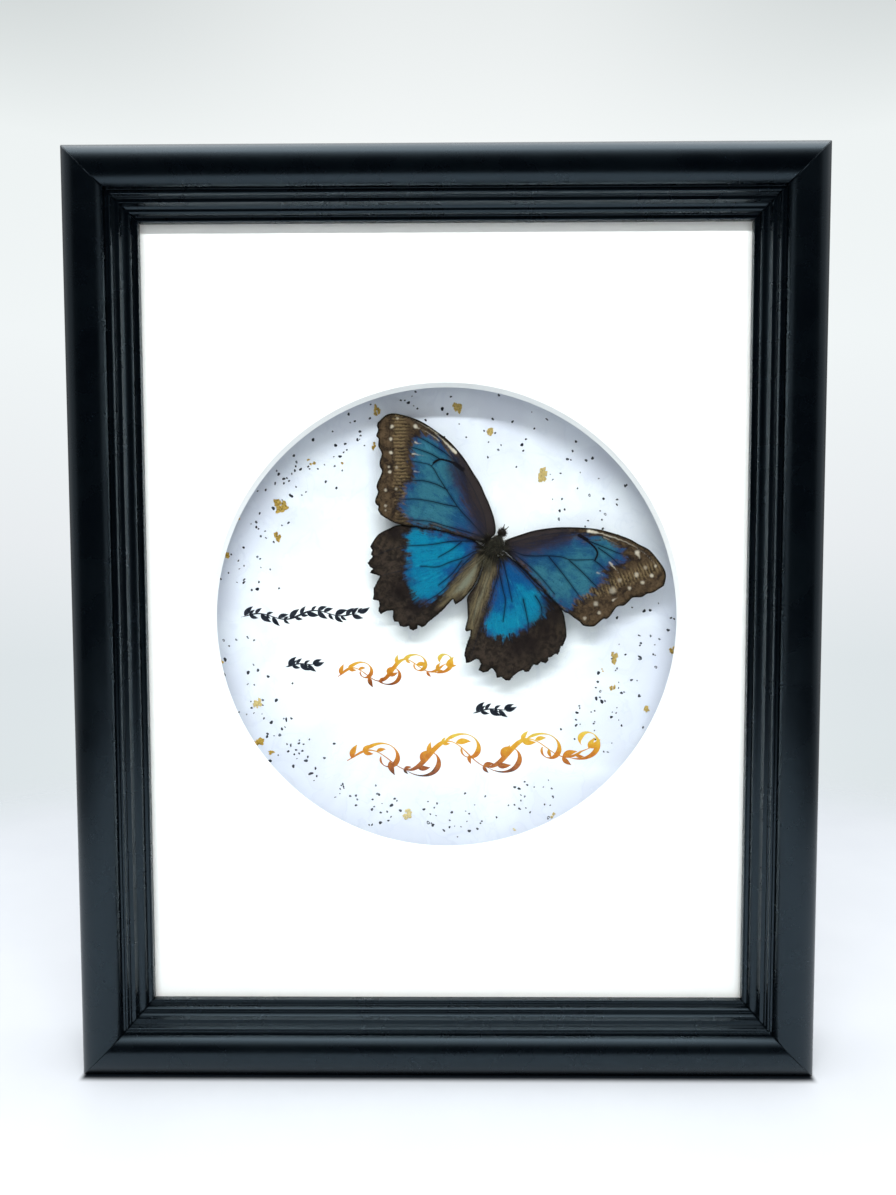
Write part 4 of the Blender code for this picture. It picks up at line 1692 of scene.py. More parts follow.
LEFT_FOREWING = Wing(
    name="forewing_left",
    costa=[
        (-2.5, 3.5), (-0.4, 6), (-1, 12), (-3.2, 18.5), (-5, 22.5), (-7.2, 27.5), (-10, 32), (-14.5, 39),
        (-20, 45.5), (-25, 49.7), (-33.5, 55.2), (-43, 58.4), (-48.5, 58.3), (-52.8, 54.8),
    ],
    margin=[
        (-53.2, 53.4), (-52.7, 51.4), (-53.5, 49), (-52.5, 47.5), (-52.6, 44.5), (-51.1, 41), (-52, 38),
        (-52, 35.5), (-51.1, 33), (-53.2, 28), (-53.5, 26), (-52.9, 24), (-54, 21), (-54, 19),
        (-52.7, 17.7), (-52.9, 16.3), (-51.8, 14),
    ],
    inner=[(-49.3, 12.3), (-43.7, 9.8), (-30, 7.5), (-23, 6.1), (-14, 3.6), (-7, 1.6), (-3.5, 1)],
    veins=[
        [
            (-5.5, 4.5), (-12, 11.5), (-17, 17), (-22, 24.5), (-25.5, 30), (-29, 35.5), (-33.5, 37),
            (-39, 38),
        ],
        [(-22, 25), (-27, 27.5), (-32.5, 29), (-38.5, 29.2), (-45, 29)],
        [(-17.5, 17.5), (-23.5, 18.6), (-29.5, 20), (-37, 21), (-44, 20.5)],
        [(-5.5, 4), (-14, 6.5), (-23, 9), (-30, 11), (-42, 12)],
        [(-25, 38.5), (-29.5, 41), (-36.5, 43.5), (-42, 44.5)],
        [(-17.5, 37), (-22.5, 41), (-27, 44), (-33, 47.5), (-39, 50)],
        [
            (-4.5, 6.5), (-5.5, 13.5), (-9, 22.5), (-13, 30), (-17.5, 37), (-22, 43), (-27, 48.5),
            (-33, 53.5), (-39.5, 56.5),
        ],
        [(-6.5, 2.5), (-13.5, 4.2), (-20, 6.5), (-25.5, 8.5), (-30, 10)],
        [(-25, 38.5), (-27.5, 37), (-29, 35.5)],
    ],
    patch=[
        (-7.5, 5.5), (-13.5, 5), (-22, 7), (-32, 9.5), (-39.5, 11.5), (-42.5, 17.5), (-41, 26.5),
        (-37, 29.5), (-37.5, 36), (-38, 43), (-36, 48), (-31, 49.5), (-25.5, 47), (-20.5, 42), (-18, 36),
        (-16, 28.5), (-13.5, 20.5), (-10, 12.5),
    ],
    teal=[(-26, 33, 9), (-29, 23, 10), (-27, 14, 9), (-36, 16, 5), (-31, 41, 7)],
    pale=[
        ([(-18.3, 41.6), (-20, 43.2), (-23.5, 46.6), (-27, 49.8)], 1, 1),
        ([(-26, 49.6), (-30, 52.4), (-36.5, 55.6)], 0.5, 0.6),
        ([(-25.5, 46.8), (-31, 50.6), (-36, 52.8)], 0.35, 0.5), ([(-36.2, 46), (-33, 45.3)], 0.55, 0.75),
        ([(-37.2, 41), (-32.5, 40.1)], 0.55, 0.75), ([(-36.6, 33.2), (-34, 33)], 0.55, 0.55),
        ([(-36, 53), (-34.5, 52.2)], 1.35, 0.85),
    ],
    spots=[
        (-44, 56.5, 0.9, 0.45), (-46.5, 53, 1.1, 0.8), (-47, 47.5, 1, 0.8), (-47, 41.5, 1, 0.85),
        (-48, 35.2, 0.8, 0.5), (-47.6, 33, 1, 0.8), (-49.5, 25, 1, 0.55), (-49.5, 18, 0.9, 0.5),
        (-49.5, 16, 0.7, 0.45), (-44.5, 35, 0.9, 0.35), (-44.8, 25.5, 0.9, 0.35),
    ],
    bars=[([(-15.5, 34), (-19, 36.8), (-25, 38.5), (-28, 37)], 0.62), ([(-15, 34), (-18.5, 36.5)], 1.25)],
    dusk=([(-2, 6), (-4.5, 15), (-8.5, 25), (-14, 34)], 12), tip=(-45, 45), tip_lift=0.7, seed=11,
)

RIGHT_FOREWING = Wing(
    name="forewing_right",
    costa=[
        (3.5, 1.5), (4.8, 2.9), (11, 5.1), (16.7, 6.8), (23.6, 7.9), (29.2, 8.3), (37.8, 8.1),
        (46.4, 7.1), (57.8, 3.6), (63.5, 0.6), (68.7, -2.4), (74, -9), (75.6, -12.7), (75.4, -15.8),
        (74.8, -18),
    ],
    margin=[
        (72.3, -19.6), (70, -21), (67.2, -21.6), (65, -23), (61, -23.3), (59.2, -25), (57, -26.8),
        (54, -27.4), (51.5, -30.8), (49.5, -32.8), (47.8, -32.8), (45.5, -34.8), (43.3, -36.2),
        (39.2, -35.9), (37.2, -34),
    ],
    inner=[
        (34.6, -32.2), (32.3, -30.4), (30, -29.3), (24.2, -23.3), (15, -13.5), (6.5, -4.9), (3.6, -2.2),
    ],
    veins=[
        [(5.5, -1.5), (13, -4.3), (23.5, -4.5), (29, -5), (33.5, -6.3), (43, -6.2)],
        [(23.5, -5), (30, -13), (37, -22.5), (39.5, -26.5)],
        [(32.5, -6.5), (38, -11.5), (44, -17.5), (49, -21.5)], [(43.5, -6.5), (47, -9.2), (51.5, -14)],
        [(45.5, -1), (51.5, -5.5), (57, -11)], [(41.5, 2), (47.5, -0.5), (55, -3.5), (61, -4.5)],
        [(7, 1.5), (17.5, 4.2), (29, 5.7), (40, 5.7), (47, 5), (56, 2), (65, -2.3), (71.5, -8.5)],
        [(7, -3), (14.5, -9), (20, -14.4), (26, -21.6)], [(44, -6.3), (45.2, -3), (43, 0.2), (39, 3.2)],
    ],
    patch=[
        (9, -6), (7.5, -3), (15.5, -1.5), (23.5, 1.5), (32.5, 4.2), (39.5, 4.2), (47.5, 3), (55, -0.5),
        (57.5, -7), (52, -8.5), (48.5, -11.5), (48.5, -16.5), (43.5, -19), (42, -22.5), (37, -23.5),
        (33.5, -28), (29, -28.5), (22, -20.5), (14, -11.5),
    ],
    teal=[(37, -9, 9), (48, -1, 6), (29, -17, 8), (38, -17, 6), (20, -12, 5)],
    pale=[
        ([(41, 6.6), (45, 5.8), (48.5, 4.9)], 1.1, 1),
        ([(47, 5.4), (58, 1.4), (66, -3.4), (71.5, -9)], 0.42, 0.6), ([(48, 3.6), (55, 0.2)], 0.35, 0.4),
        ([(45, -12), (47.5, -13)], 0.55, 0.55), ([(50.5, -7.5), (54.5, -12)], 0.6, 0.7),
        ([(62.8, -3.2), (63.9, -5.6)], 1.6, 0.85), ([(52.2, -24.4), (54, -23.4)], 0.7, 0.6),
    ],
    spots=[
        (71, -9.2, 0.9, 0.7), (69.3, -13.4, 1.2, 0.85), (62.5, -13, 1.5, 0.6), (65.2, -16.5, 1.2, 0.6),
        (59.4, -19, 1.2, 0.6), (66.5, -9.8, 1.3, 0.35), (52, -20, 2.2, 0.4), (55, -15.5, 1.4, 0.35),
        (44.5, -26, 1.5, 0.5), (46, -30, 1.1, 0.5), (39.5, -32.5, 1.1, 0.5),
    ],
    bars=[
        ([(37.2, 4.6), (40, 2.4), (43.6, -0.6), (45, -3.6), (44, -6.4)], 0.5),
        ([(37, 4.6), (40.5, 2.6)], 1.1),
    ],
    dusk=([(3, 1), (11, 1.5), (20, 3.5), (27, 5)], 9.5), tip=(65, -14), tip_lift=0.6, seed=23,
)

LEFT_HINDWING = Wing(
    name="hindwing_left",
    costa=[
        (-5.6, -0.4), (-14, 4.6), (-30, 8.2), (-43, 9.5), (-47.8, 8), (-52.4, 5.7), (-54.5, 3.4),
        (-56.4, 0.4),
    ],
    margin=[
        (-56.6, -0.1), (-55.8, -1.7), (-56.4, -3.8), (-55.5, -4.5), (-57.9, -7.5), (-56.9, -9.1),
        (-55.6, -10.2), (-57, -12), (-54.6, -12.7), (-52.3, -13.5), (-54.1, -16.8), (-55.3, -19),
        (-55.2, -22), (-55.7, -24), (-53, -24.5), (-52.7, -27), (-53.3, -29.2), (-52, -30.6),
        (-49.6, -29.2), (-46.5, -28.9), (-46.7, -31.8), (-46, -34), (-44.4, -34.1), (-43.5, -36),
        (-41, -36.5), (-39.6, -35.9), (-39, -37.4), (-37.5, -38), (-35.7, -37.2), (-35.2, -35.4),
        (-33.7, -36.6), (-32, -35.9), (-30.6, -34.1), (-27.5, -31.8), (-24, -28.7), (-20.8, -25.1),
        (-19.5, -23.8), (-18.5, -26.4), (-16.2, -24.9), (-14.2, -23.2),
    ],
    inner=[(-11.6, -20.2), (-9.5, -17), (-7.9, -13.2), (-6.5, -9.2), (-5.6, -5.5)],
    veins=[
        [(-6.5, 2), (-14, 2.2), (-21, 2), (-30, 0.6), (-42, 0)], [(-15.5, 2), (-20, -1.5), (-26, -5)],
        [(-10, -2.5), (-15, -5.3), (-21, -7.2), (-26.5, -9.3), (-34, -9)],
        [(-10, -3.5), (-15.5, -9), (-20, -15.5), (-25.5, -21), (-31, -24.5)],
        [(-15.5, -6.5), (-20, -12.5), (-26, -17.5)],
        [(-5.5, -2.5), (-10, -6.5), (-14.5, -11.5), (-16.5, -15.5)],
        [(-7, -5), (-8.6, -10), (-9.6, -14.5)], [(-42, 0), (-49, -2), (-55, -4.5)],
        [(-40, -10.5), (-47, -12), (-52, -13.3)],
    ],
    patch=[
        (-9, 3.5), (-21, 6), (-32, 7.5), (-38.5, 7.5), (-40.5, 0.5), (-40, -6.5), (-41, -13),
        (-38.5, -20), (-35.5, -25.5), (-31, -26), (-25.5, -22.5), (-19.5, -15.5), (-14.5, -9),
        (-9.5, -2.5),
    ],
    teal=[(-30, -4, 11), (-35, 2, 7), (-31, -15, 9), (-22, -3, 7), (-36, -20, 5)],
    straw=[
        (-5, -2.5), (-9, -4.5), (-15.5, -11.5), (-21.5, -19.5), (-26, -27.5), (-20, -24.5), (-13.5, -22),
        (-9, -17), (-5.5, -8), (-5, -2.5),
    ],
    shade=[(-46, 6, 4), (-43, -20, 5), (-37, -27, 4)], toothed=True, tip=(-50, -15), tip_lift=-0.5,
    seed=37,
)

RIGHT_HINDWING = Wing(
    name="hindwing_right",
    costa=[
        (2, -4.6), (5.4, -4.4), (16, -13.6), (24.2, -20), (29.6, -29.2), (30.8, -33.5), (31.5, -38),
        (31.6, -41),
    ],
    margin=[
        (30.8, -43), (30, -45.1), (29, -45.3), (28.6, -47.2), (27.7, -49.2), (26.8, -48.5), (25, -49.9),
        (23.4, -50.4), (23.4, -51.7), (22.3, -53), (20, -52.2), (18.7, -53.8), (16.8, -53.5),
        (15.5, -55.4), (14.6, -56.7), (13.2, -57), (12, -56), (9.6, -57), (7.8, -58.6), (6, -60.8),
        (4, -60.6), (2.3, -59.2), (0.3, -59.7), (-0.4, -57), (-2, -55), (-3.6, -56.5), (-6, -57.1),
        (-8.1, -56), (-7, -53.1), (-7.7, -51.5), (-8.8, -50.8), (-11.8, -52.4), (-13.8, -52.8),
        (-14, -50.8), (-14.5, -49.4), (-14, -46.2), (-13, -43), (-11.8, -40.3), (-11.5, -38),
        (-13.3, -38.5), (-14.2, -37.8), (-13.8, -36.2),
    ],
    inner=[
        (-12.9, -32.5), (-13.1, -27), (-13.2, -23.5), (-12.2, -21.4), (-10.4, -18.9), (-9, -16.9),
        (-7.5, -13.1), (-6, -9), (-4.4, -5.6), (-1.5, -4.6),
    ],
    veins=[
        [(2, -6.5), (0, -15.5), (-3.5, -26.5), (-7.5, -37)], [(1, -11), (3, -20), (4, -25), (3, -34)],
        [(2.5, -5.5), (5, -15.5), (7, -25)], [(6.5, -6.5), (14.5, -14.5), (22, -24)],
        [(17.5, -22.5), (20, -27), (20.5, -32)], [(12, -24), (14, -33), (14.5, -37)],
        [(-4.5, -9), (-7, -18), (-9.5, -28), (-10.5, -36)], [(-7.5, -37), (-9.5, -44), (-11.5, -50)],
    ],
    patch=[
        (2, -6.5), (7.5, -6.5), (16, -14), (23, -23.5), (23, -28), (20, -32.5), (12.5, -38), (6.5, -41),
        (-2, -41.5), (-5.5, -36), (-4, -27), (-1, -17),
    ],
    teal=[(14, -25, 8), (3, -36, 8), (16, -31, 6), (-2, -35, 4), (8, -33, 6)],
    straw=[
        (-4, -7.5), (0, -8), (-2, -17), (-5, -26), (-8.5, -35), (-11, -41.5), (-13, -37), (-12, -28),
        (-9, -20), (-6.5, -13), (-4, -7.5),
    ],
    shade=[(15, -44, 6), (22, -37, 6), (26, -31, 5), (9, -46, 5), (24, -26, 4)], toothed=True,
    tip=(8, -50), tip_lift=-0.4, seed=53,
)


@dataclass
class Body:
    """Thorax, head, eyes, palps, two broken antennae, and the hair over them."""

    thorax_length: float = 11.6
    thorax_radius: float = 3.3
    head_radius: float = 1.55
    head_length: float = 1.7
    eye_radius: float = 0.75
    shift: tuple[float, float, float] = (-1.2, 0.0, -0.5)
    head_shift: tuple[float, float, float] = (-1.9, 0.0, -1.4)
    sides: int = 28
    hair_radius: float = 0.052
    seed: int = 7

    def __post_init__(self) -> None:
        """Finds the body's place and lean in the frame."""
        self.centre = middle("thorax") + Vector(self.shift)
        self.head = middle("head") + Vector(self.head_shift)
        self.axis = (self.head - self.centre).normalized()
        self.across = Vector((self.axis.z, 0.0, -self.axis.x))
        self.back = Vector((0.0, 1.0, 0.0))

    def at(self, across: float, back: float, along: float) -> Vector:
        """A point from the body's own axes, as (x, depth, z)."""
        spot = self.centre + self.across * across + self.back * back + self.axis * along
        return Vector((spot.x, spot.y - FRONT, spot.z))

    def blob(self, shape: Shape, hub: Vector, radii: Point, rings: int, finish: int, lumps: float) -> None:
        """Adds a rounded lump whose long axis is the body's.

        Args:
            shape: What it is added to.
            hub: Its middle, as (across, back, along).
            radii: Its radius across, and its half length.
            rings: How many rings it has.
            finish: Which finish it takes.
            lumps: How far its surface is uneven.
        """
        turn = turns(self.sides)
        stack = []
        for tilt in np.linspace(-0.47 * pi, 0.47 * pi, rings):
            girth = radii[0] * cos(tilt)
            along = hub.z + radii[1] * sin(tilt)
            ring = []
            for a in turn:
                ring.append(self.at(hub.x + girth * cos(a), hub.y + 0.95 * girth * sin(a), along))
            stack.append(np.array([tuple(p) for p in ring]))
        hub_at = np.array(tuple(self.at(hub.x, hub.y, hub.z)))
        points = np.vstack(stack)
        bulge = lumps * waves(points, 1.6, self.seed)
        points += (points - hub_at) * bulge[:, None]
        shape.loft(np.split(points, rings), finish=finish, pale=np.full(len(points), 0.1))

    def build_trunk(self, fur: Material, horn: Material) -> None:
        """Makes the thorax and the head with its eyes and palps.

        Args:
            fur: The hair's finish.
            horn: The eyes' finish.
        """
        thorax = Shape()
        half = self.thorax_length / 2
        self.blob(thorax, Vector((0, 0, 0)), (self.thorax_radius, half), 26, 0, 0.05)
        self.blob(thorax, Vector((0, 0, half - 0.4)), (1.3, 1.9), 12, 0, 0.05)
        thorax.make("thorax_furred", Slot.FUR, [fur], ["thorax"])
        head = Shape()
        ahead = (self.head - self.centre).length
        self.blob(head, Vector((0, 0, ahead)), (self.head_radius, self.head_length), 16, 1, 0.05)
        for side in (-1, 1):
            eye = Vector((side * 1.15, -0.45, ahead + 0.3))
            self.blob(head, eye, (self.eye_radius, self.eye_radius), 12, 1, 0.0)
            palp = Vector((side * 0.4, -0.7, ahead + 1.7))
            self.blob(head, palp, (0.32, 0.9), 10, 1, 0.05)
        head.make("head_with_eyes", Slot.FUR, [fur, horn], ["head"])

    def build_antennae(self, horn: Material) -> None:
        """Makes the two stubs, each a short run of beads that tapers to its broken end.

        Args:
            horn: The beads' finish.
        """
        turn = turns(12)
        for side in ("left", "right"):
            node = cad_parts[f"antenna_stub_{side}"]
            spots = [v.co / MM for v in node.data.vertices]
            reach = [(p - self.centre).dot(self.axis) for p in spots]
            base = sum((p for p, r in zip(spots, reach) if r < min(reach) + 0.1), Vector())
            base /= sum(1 for r in reach if r < min(reach) + 0.1)
            tip = sum((p for p, r in zip(spots, reach) if r > max(reach) - 0.1), Vector())
            tip /= sum(1 for r in reach if r > max(reach) - 0.1)
            rings = []
            for share in np.linspace(0, 1, 25):
                bead = 1 + 0.16 * abs(sin(share * pi * 5))
                radius = (0.24 - 0.10 * share) * bead
                spot = base.lerp(tip, share) + self.across * (0.12 * sin(share * 2.2))
                spot += Vector(self.head_shift)
                ring = []
                for a in turn:
                    p = spot + self.across * radius * cos(a) + self.back * radius * sin(a)
                    ring.append((p.x, p.y - FRONT, p.z))
                rings.append(np.array(ring))
            shape = Shape()
            shape.loft(rings)
            shape.make(f"antenna_{side}", Slot.HORN, [horn], [f"antenna_stub_{side}"])

    def hair(
        self, shape: Shape, root: Vector, heading: Vector, length: float, pale: float, bend: Vector
    ) -> None:
        """Adds one tapering hair.

        Args:
            shape: What it is added to.
            root: Where it grows, as (x, depth, z).
            heading: Its first direction.
            length: Its length.
            pale: How fair it is, from 0 to 1.
            bend: How far its tip is drawn aside.
        """
        side = heading.orthogonal().normalized()
        other = heading.cross(side).normalized()
        turn = (0.0, 2.094, 4.189)
        rings = []
        for share, thick in ((0.0, 1.0), (0.55, 0.75), (1.0, 0.16)):
            spot = root + heading * (length * share) + bend * share**2
            radius = self.hair_radius * thick
            ring = [spot + (side * cos(a) + other * sin(a)) * radius for a in turn]
            rings.append(np.array([tuple(p) for p in ring]))
        shape.loft(rings, pale=np.full(9, pale))

    def outward(self, around: float, tilt: float) -> Vector:
        """The direction that a rounded lump's surface faces, sideways and to the front."""
        side = self.across * cos(around) * cos(tilt)
        return side - self.back * sin(around) * cos(tilt)

    def build_hair(self, fur: Material, dark: Material) -> None:
        """Grows the hair: a pelt on the thorax, a tuft on the head, and long hairs over the wings' roots.

        Args:
            fur: The finish of the thorax's hair.
            dark: The finish of the head's.
        """
        draw = np.random.default_rng(self.seed)
        pelt = Shape()
        half = self.thorax_length / 2
        for _ in range(1500):
            tilt = asin(draw.uniform(-0.98, 0.98))
            around = draw.uniform(-0.25, pi + 0.25)
            girth = self.thorax_radius * cos(tilt) * 0.96
            along = half * sin(tilt)
            root = self.at(girth * cos(around), -0.95 * girth * sin(around), along)
            out = self.outward(around, tilt) * 0.7 + self.axis * sin(tilt) * 0.5 - self.axis * 0.95
            out += Vector(draw.normal(size=3)) * 0.42
            length = draw.uniform(0.8, 2.1)
            pale = draw.uniform(0.2, 0.8) if draw.random() < 0.26 else draw.uniform(0.0, 0.10)
            droop = self.back * draw.uniform(-0.1, 0.5) + self.across * draw.normal() * 0.25
            self.hair(pelt, root, out.normalized(), length, pale, droop)
        pelt.make("thorax_hair", Slot.FUR, [fur])
        tuft = Shape()
        ahead = (self.head - self.centre).length
        for _ in range(380):
            tilt = asin(draw.uniform(-0.6, 1.0))
            around = draw.uniform(-0.3, pi + 0.3)
            girth = self.head_radius * cos(tilt) * 0.95
            along = ahead + self.head_length * sin(tilt)
            root = self.at(girth * cos(around), -0.9 * girth * sin(around), along)
            out = self.outward(around, tilt)
            out += self.axis * (sin(tilt) + 0.35) + Vector(draw.normal(size=3)) * 0.3
            length = draw.uniform(0.5, 1.5)
            self.hair(tuft, root, out.normalized(), length, 0.0, Vector((0, 0, 0)))
        tuft.make("head_tuft", Slot.FUR, [dark])
        manes = Shape()
        for bearing_deg, spread_deg, count, reach, fair in (
            (133, 26, 110, 6.0, -0.1), (168, 16, 90, 6.5, 0.0), (200, 14, 90, 7.0, 0.0),
            (228, 14, 190, 11.0, 0.45), (250, 12, 210, 12.0, 0.5), (278, 14, 90, 8.0, 0.05),
            (318, 16, 110, 8.5, 0.05), (352, 16, 110, 7.0, 0.0), (20, 12, 70, 5.5, -0.1),
        ):
            for _ in range(count):
                angle = radians(bearing_deg + spread_deg * draw.uniform(-1, 1))
                heading = Vector((cos(angle), draw.normal() * 0.07 - 0.10, sin(angle))).normalized()
                start = draw.uniform(1.8, 4.4)
                spot = self.centre + Vector((cos(angle), 0, sin(angle))) * start
                root = Vector((spot.x, spot.y - FRONT - draw.uniform(0.4, 1.1), spot.z))
                length = reach * draw.uniform(0.35, 0.8)
                bend = Vector((0, 0.75 + draw.uniform(-0.2, 0.2), 0)) + Vector(draw.normal(size=3)) * 0.25
                self.hair(manes, root, heading, length, float(np.clip(draw.normal(fair, 0.3), 0, 1)), bend)
        manes.make("wing_root_hair", Slot.FUR, [fur])


@dataclass
class Specimen:
    """The whole butterfly on its cork."""

    wings: tuple[Wing, ...] = (LEFT_FOREWING, RIGHT_FOREWING, LEFT_HINDWING, RIGHT_HINDWING)

    def build(self) -> None:
        """Makes the wings, the body and the cork."""
        centre = middle("thorax")
        fore = WingScales("forewing_scales").make()
        hind = WingScales(
            "hindwing_scales", teal=display(8, 126, 160), blue=display(10, 76, 132),
            painted_glint=display(30, 150, 176), umber=display(22, 19, 17), hazel=display(56, 47, 40),
            row=display(84, 72, 56), row_depth=4.6, row_pitch=3.1, row_strength=0.3,
        ).make()
        for wing in self.wings:
            wing.build(centre, fore if wing.name.startswith("forewing") else hind)
        body = Body()
        fur = Fur().make()
        body.build_trunk(fur, Horn("head_horn", 0.30).make())
        horn = Horn("antenna_horn", 0.45).make()
        body.build_antennae(horn)
        body.build_hair(fur, Horn("head_bristle", 0.6, display(12, 13, 16)).make())
        softened("cork_standoff", "cork_disc", Slot.CORK, Cork().make(), 0.25)


@dataclass
class BackFittings:
    """What closes the frame behind: spacers, the back board, its tabs, and the hanger."""

    tabs: int = 8

    def build(self) -> None:
        """Dresses each piece, its edges eased."""
        foam = Paper("foam_strip", display(236, 236, 232), 0.14, 0.9).make()
        for side in ("top", "bottom", "left", "right"):
            softened(f"spacer_{side}", f"foam_spacer_{side}", Slot.SPACER, foam, 0.3)
        softened("back_board", "hardboard_back", Slot.BOARD, Hardboard().make(), 0.25)
        zinc = ZincPlate().make()
        for number in range(1, self.tabs + 1):
            softened(f"retaining_tab_{number}", f"flex_point_{number}", Slot.STEEL, zinc, 0.1)
        softened("sawtooth_hanger", "toothed_hanger", Slot.STEEL, zinc, 0.16)
        for side in ("left", "right"):
            softened(f"hanger_nail_{side}", f"round_nail_{side}", Slot.STEEL, zinc, 0.08)


# The studio


@dataclass
class Softbox:
    """A rectangular lamp that the camera doesn't see."""

    name: str
    centre: tuple[float, float, float]
    aim: tuple[float, float, float]
    width: float
    height: float
    power: float
    colour: tuple[float, float, float] = (1.0, 1.0, 1.0)
    mirrored: bool = True

    def hang(self) -> None:
        """Adds the lamp to the scene."""
        light = bpy.data.lights.new(self.name, "AREA")
        light.shape = "RECTANGLE"
        light.size = self.width
        light.size_y = self.height
        light.energy = self.power
        light.color = self.colour
        light.cycles.use_multiple_importance_sampling = self.mirrored
        lamp = bpy.data.objects.new(self.name, light)
        lamp.location = self.centre
        direction = Vector(self.aim) - Vector(self.centre)
        lamp.rotation_euler = direction.to_track_quat("-Z", "Y").to_euler()
        lamp.visible_camera = False
        lamp.visible_glossy = self.mirrored
        lamp.visible_transmission = self.mirrored
        bpy.context.scene.collection.objects.link(lamp)


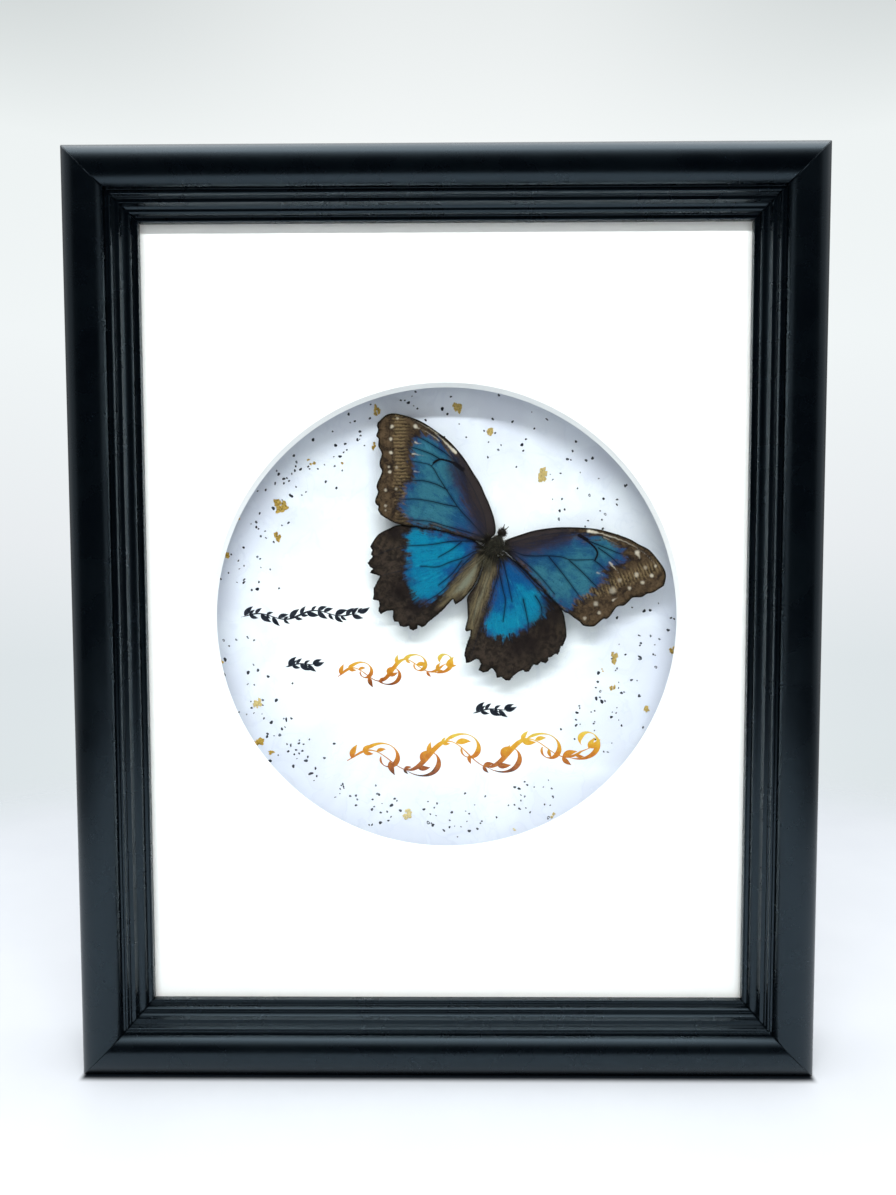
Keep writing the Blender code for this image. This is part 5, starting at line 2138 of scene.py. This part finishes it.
@dataclass
class Studio:
    """A white table top in a light tent that is open to the front, and the camera."""

    floor_radius: float = 0.80
    floor_fade: tuple[float, float] = (0.44, 0.66)
    camera_place: tuple[float, float, float] = (0.0042, -0.40065, 0.2309)
    camera_turn_deg: tuple[float, float, float] = (86.797, 0.1268, 0.4799)
    focal_length: float = 26.9925
    lamps: tuple[Softbox, ...] = (
        Softbox("strip_front", (0.0, -0.74, 0.83), (0.0, 0.0, 0.2), 0.9, 0.05, 9.5, (0.98, 0.99, 1.0), False),
        Softbox("overhead", (0.0, -0.10, 1.05), (0.0, 0.0, 0.2), 0.9, 0.6, 4.0, (0.98, 0.99, 1.0)),
        Softbox("left_wall", (-0.95, -0.15, 0.45), (0.0, 0.0, 0.2), 0.8, 0.9, 0.8, (0.96, 0.98, 1.0)),
        Softbox("right_wall", (0.95, -0.15, 0.45), (0.0, 0.0, 0.2), 0.8, 0.9, 0.8, (0.96, 0.98, 1.0)),
        Softbox("fill", (0.0, -1.05, 0.28), (0.0, 0.0, 0.2), 1.2, 1.0, 5.6, (1.0, 0.995, 0.985), False),
    )

    def lay_floor(self) -> None:
        """Makes the table top, which fades out round the frame, and is painted dark under the frame as a
        contact shadow.
        """
        sides = 96
        turn = turns(sides)
        ring = [(self.floor_radius * cos(a), self.floor_radius * sin(a), 0.0) for a in turn]
        mesh = bpy.data.meshes.new("table_top")
        mesh.from_pydata(ring, [], [tuple(range(sides))])
        floor = bpy.data.objects.new("table_top", mesh)
        floor.location.z = cad_low.z
        bpy.context.scene.collection.objects.link(floor)
        mix = Recipe("white_table")
        where = mix.place()
        away = mix.node("ShaderNodeVectorMath", operation="LENGTH")
        mix.feed(away.inputs[0], where)
        sheen = mix.noise(where, 0.02, 3.0)
        tone = mix.blend(sheen, display(196, 199, 204), display(202, 205, 209))
        spot = mix.node("ShaderNodeSeparateXYZ")
        mix.feed(spot.inputs["Vector"], where)
        # Painted contact shadow: the table is painted dark under the frame's footprint, fading out 2 mm in
        # front of it and at its back.
        under = mix.step(spot.outputs["Y"], FRONT - 2.0, FRONT + 3.0)
        under = mix.times(under, mix.step(spot.outputs["Y"], FRONT + 46, FRONT + 42))
        inside = mix.step(mix.maths("ABSOLUTE", spot.outputs["X"]), cad_high.x / MM + 1, cad_high.x / MM - 2)
        tone = mix.blend(mix.times(under, inside), tone, display(20, 26, 32))
        mix.set(base_color=tone, roughness=0.5, specular_ior_level=0.3, normal=mix.bump(sheen, 0.05))
        gone = mix.node("ShaderNodeBsdfTransparent")
        near, far = self.floor_fade
        mix.shaders(mix.step(away.outputs["Value"], near / MM, far / MM), mix.shader, gone)
        mesh.materials.append(mix.material)

    def light_tent(self) -> None:
        """Sets the world: what the lamps' light falls from, and the pale walls behind the frame."""
        world = bpy.data.worlds.new("light_tent")
        bpy.context.scene.world = world
        world.use_nodes = True
        sky = Nodes(world.node_tree)
        sky.tree.nodes.clear()
        parts = sky.node("ShaderNodeSeparateXYZ")
        sky.feed(parts.inputs["Vector"], sky.node("ShaderNodeTexCoord").outputs["Generated"])

        def bands(axis: str, low: float, high: float, stops: Stops) -> object:
            """Colours along one part of the direction, from low to high.

            Args:
                axis: The part of the direction.
                low: Where the stops begin.
                high: Where they end.
                stops: Places and their colours.

            Returns:
                The colour.
            """
            spread = sky.node("ShaderNodeMapRange")
            spread.inputs["From Min"].default_value = low
            spread.inputs["From Max"].default_value = high
            sky.feed(spread.inputs["Value"], parts.outputs[axis])
            return sky.ramp(spread.outputs["Result"], stops)

        def levels(*pairs: Point) -> list[tuple[float, Colour]]:
            """Stops of a slightly cool grey, from pairs (position, level)."""
            return [(at, (level * 0.985, level, level * 1.01, 1.0)) for at, level in pairs]

        # Painted shading of the tent's walls as the camera sees them: much darker near the top and a little
        # darker low down.
        walls = bands(
            "Z", -0.3, 0.55,
            [
                (0.0, display(222, 230, 233)), (0.22, display(222, 229, 232)),
                (0.36, display(233, 237, 240)), (0.60, display(241, 246, 247)),
                (0.80, display(238, 243, 243)), (0.95, display(200, 206, 206)),
            ],
        )
        height = levels((0.0, 0.5), (0.30, 0.28), (0.60, 0.42), (0.76, 1.2), (0.90, 2.2), (1.0, 1.3))
        front = bands("Y", -1.0, 0.2, levels((0.0, 0.0), (0.35, 0.03), (0.6, 0.22), (0.9, 1.0)))
        top = bands("Z", 0.55, 0.85, levels((0.0, 0.0), (1.0, 1.0)))
        open_front = sky.blend(1.0, front, top, "LIGHTEN")
        tent = sky.blend(1.0, bands("Z", -0.2, 1.0, height), open_front, "MULTIPLY")
        # Painted glare: the walls straight ahead are brightened towards white.
        glare = sky.step(sky.maths("ABSOLUTE", parts.outputs["X"]), 0.45, 0.05, 0.0, 0.6)
        wall = sky.blend(glare, walls, display(252, 255, 255))
        seen = sky.node("ShaderNodeLightPath").outputs["Is Camera Ray"]
        glow = sky.node("ShaderNodeBackground")
        sky.feed(glow.inputs["Color"], sky.blend(seen, tent, wall))
        sky.feed(sky.node("ShaderNodeOutputWorld").inputs["Surface"], glow.outputs["Background"])

    def set_camera(self) -> None:
        """Places the camera a little above the frame's middle, looking slightly down."""
        data = bpy.data.cameras.new("camera")
        data.lens = self.focal_length
        data.sensor_width = 36.0
        data.clip_start = 0.01
        data.clip_end = 20.0
        camera = bpy.data.objects.new("camera", data)
        camera.location = self.camera_place
        camera.rotation_euler = [radians(a) for a in self.camera_turn_deg]
        bpy.context.scene.collection.objects.link(camera)
        bpy.context.scene.camera = camera

    def build(self) -> None:
        """Sets up the floor, the light and the camera."""
        self.lay_floor()
        self.light_tent()
        for lamp in self.lamps:
            lamp.hang()
        self.set_camera()
        bpy.context.scene.view_settings.view_transform = "Standard"


def main() -> None:
    """Builds the pieces in order, from the frame inwards, and then the studio."""
    logging.basicConfig(level=logging.INFO, format="%(name)s %(message)s")
    size = (cad_high - cad_low) / MM
    rail_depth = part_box("rail_left")[1].y / MM - FRONT
    moulding = Moulding(width=size.x, height=size.z, depth=rail_depth)
    moulding.build(BlackLacquer().make(), BarePine().make())
    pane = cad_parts["glass_pane"]
    pane.data.materials.clear()
    pane.data.materials.append(ClearGlass().make())
    log.info("glass_pane: clear glass")
    mat = RoundMat()
    centre, hole_radius, _ = mat.hole()
    face = Paper("mat_face", display(250, 250, 250), 0.02).make()
    mat.build(face, Paper("mat_core", display(246, 247, 248), 0.05, 0.95).make())
    PrintedSheet(centre, hole_radius).build()
    Specimen().build()
    BackFittings().build()
    Studio().build()


if __name__ == "__main__":
    main()
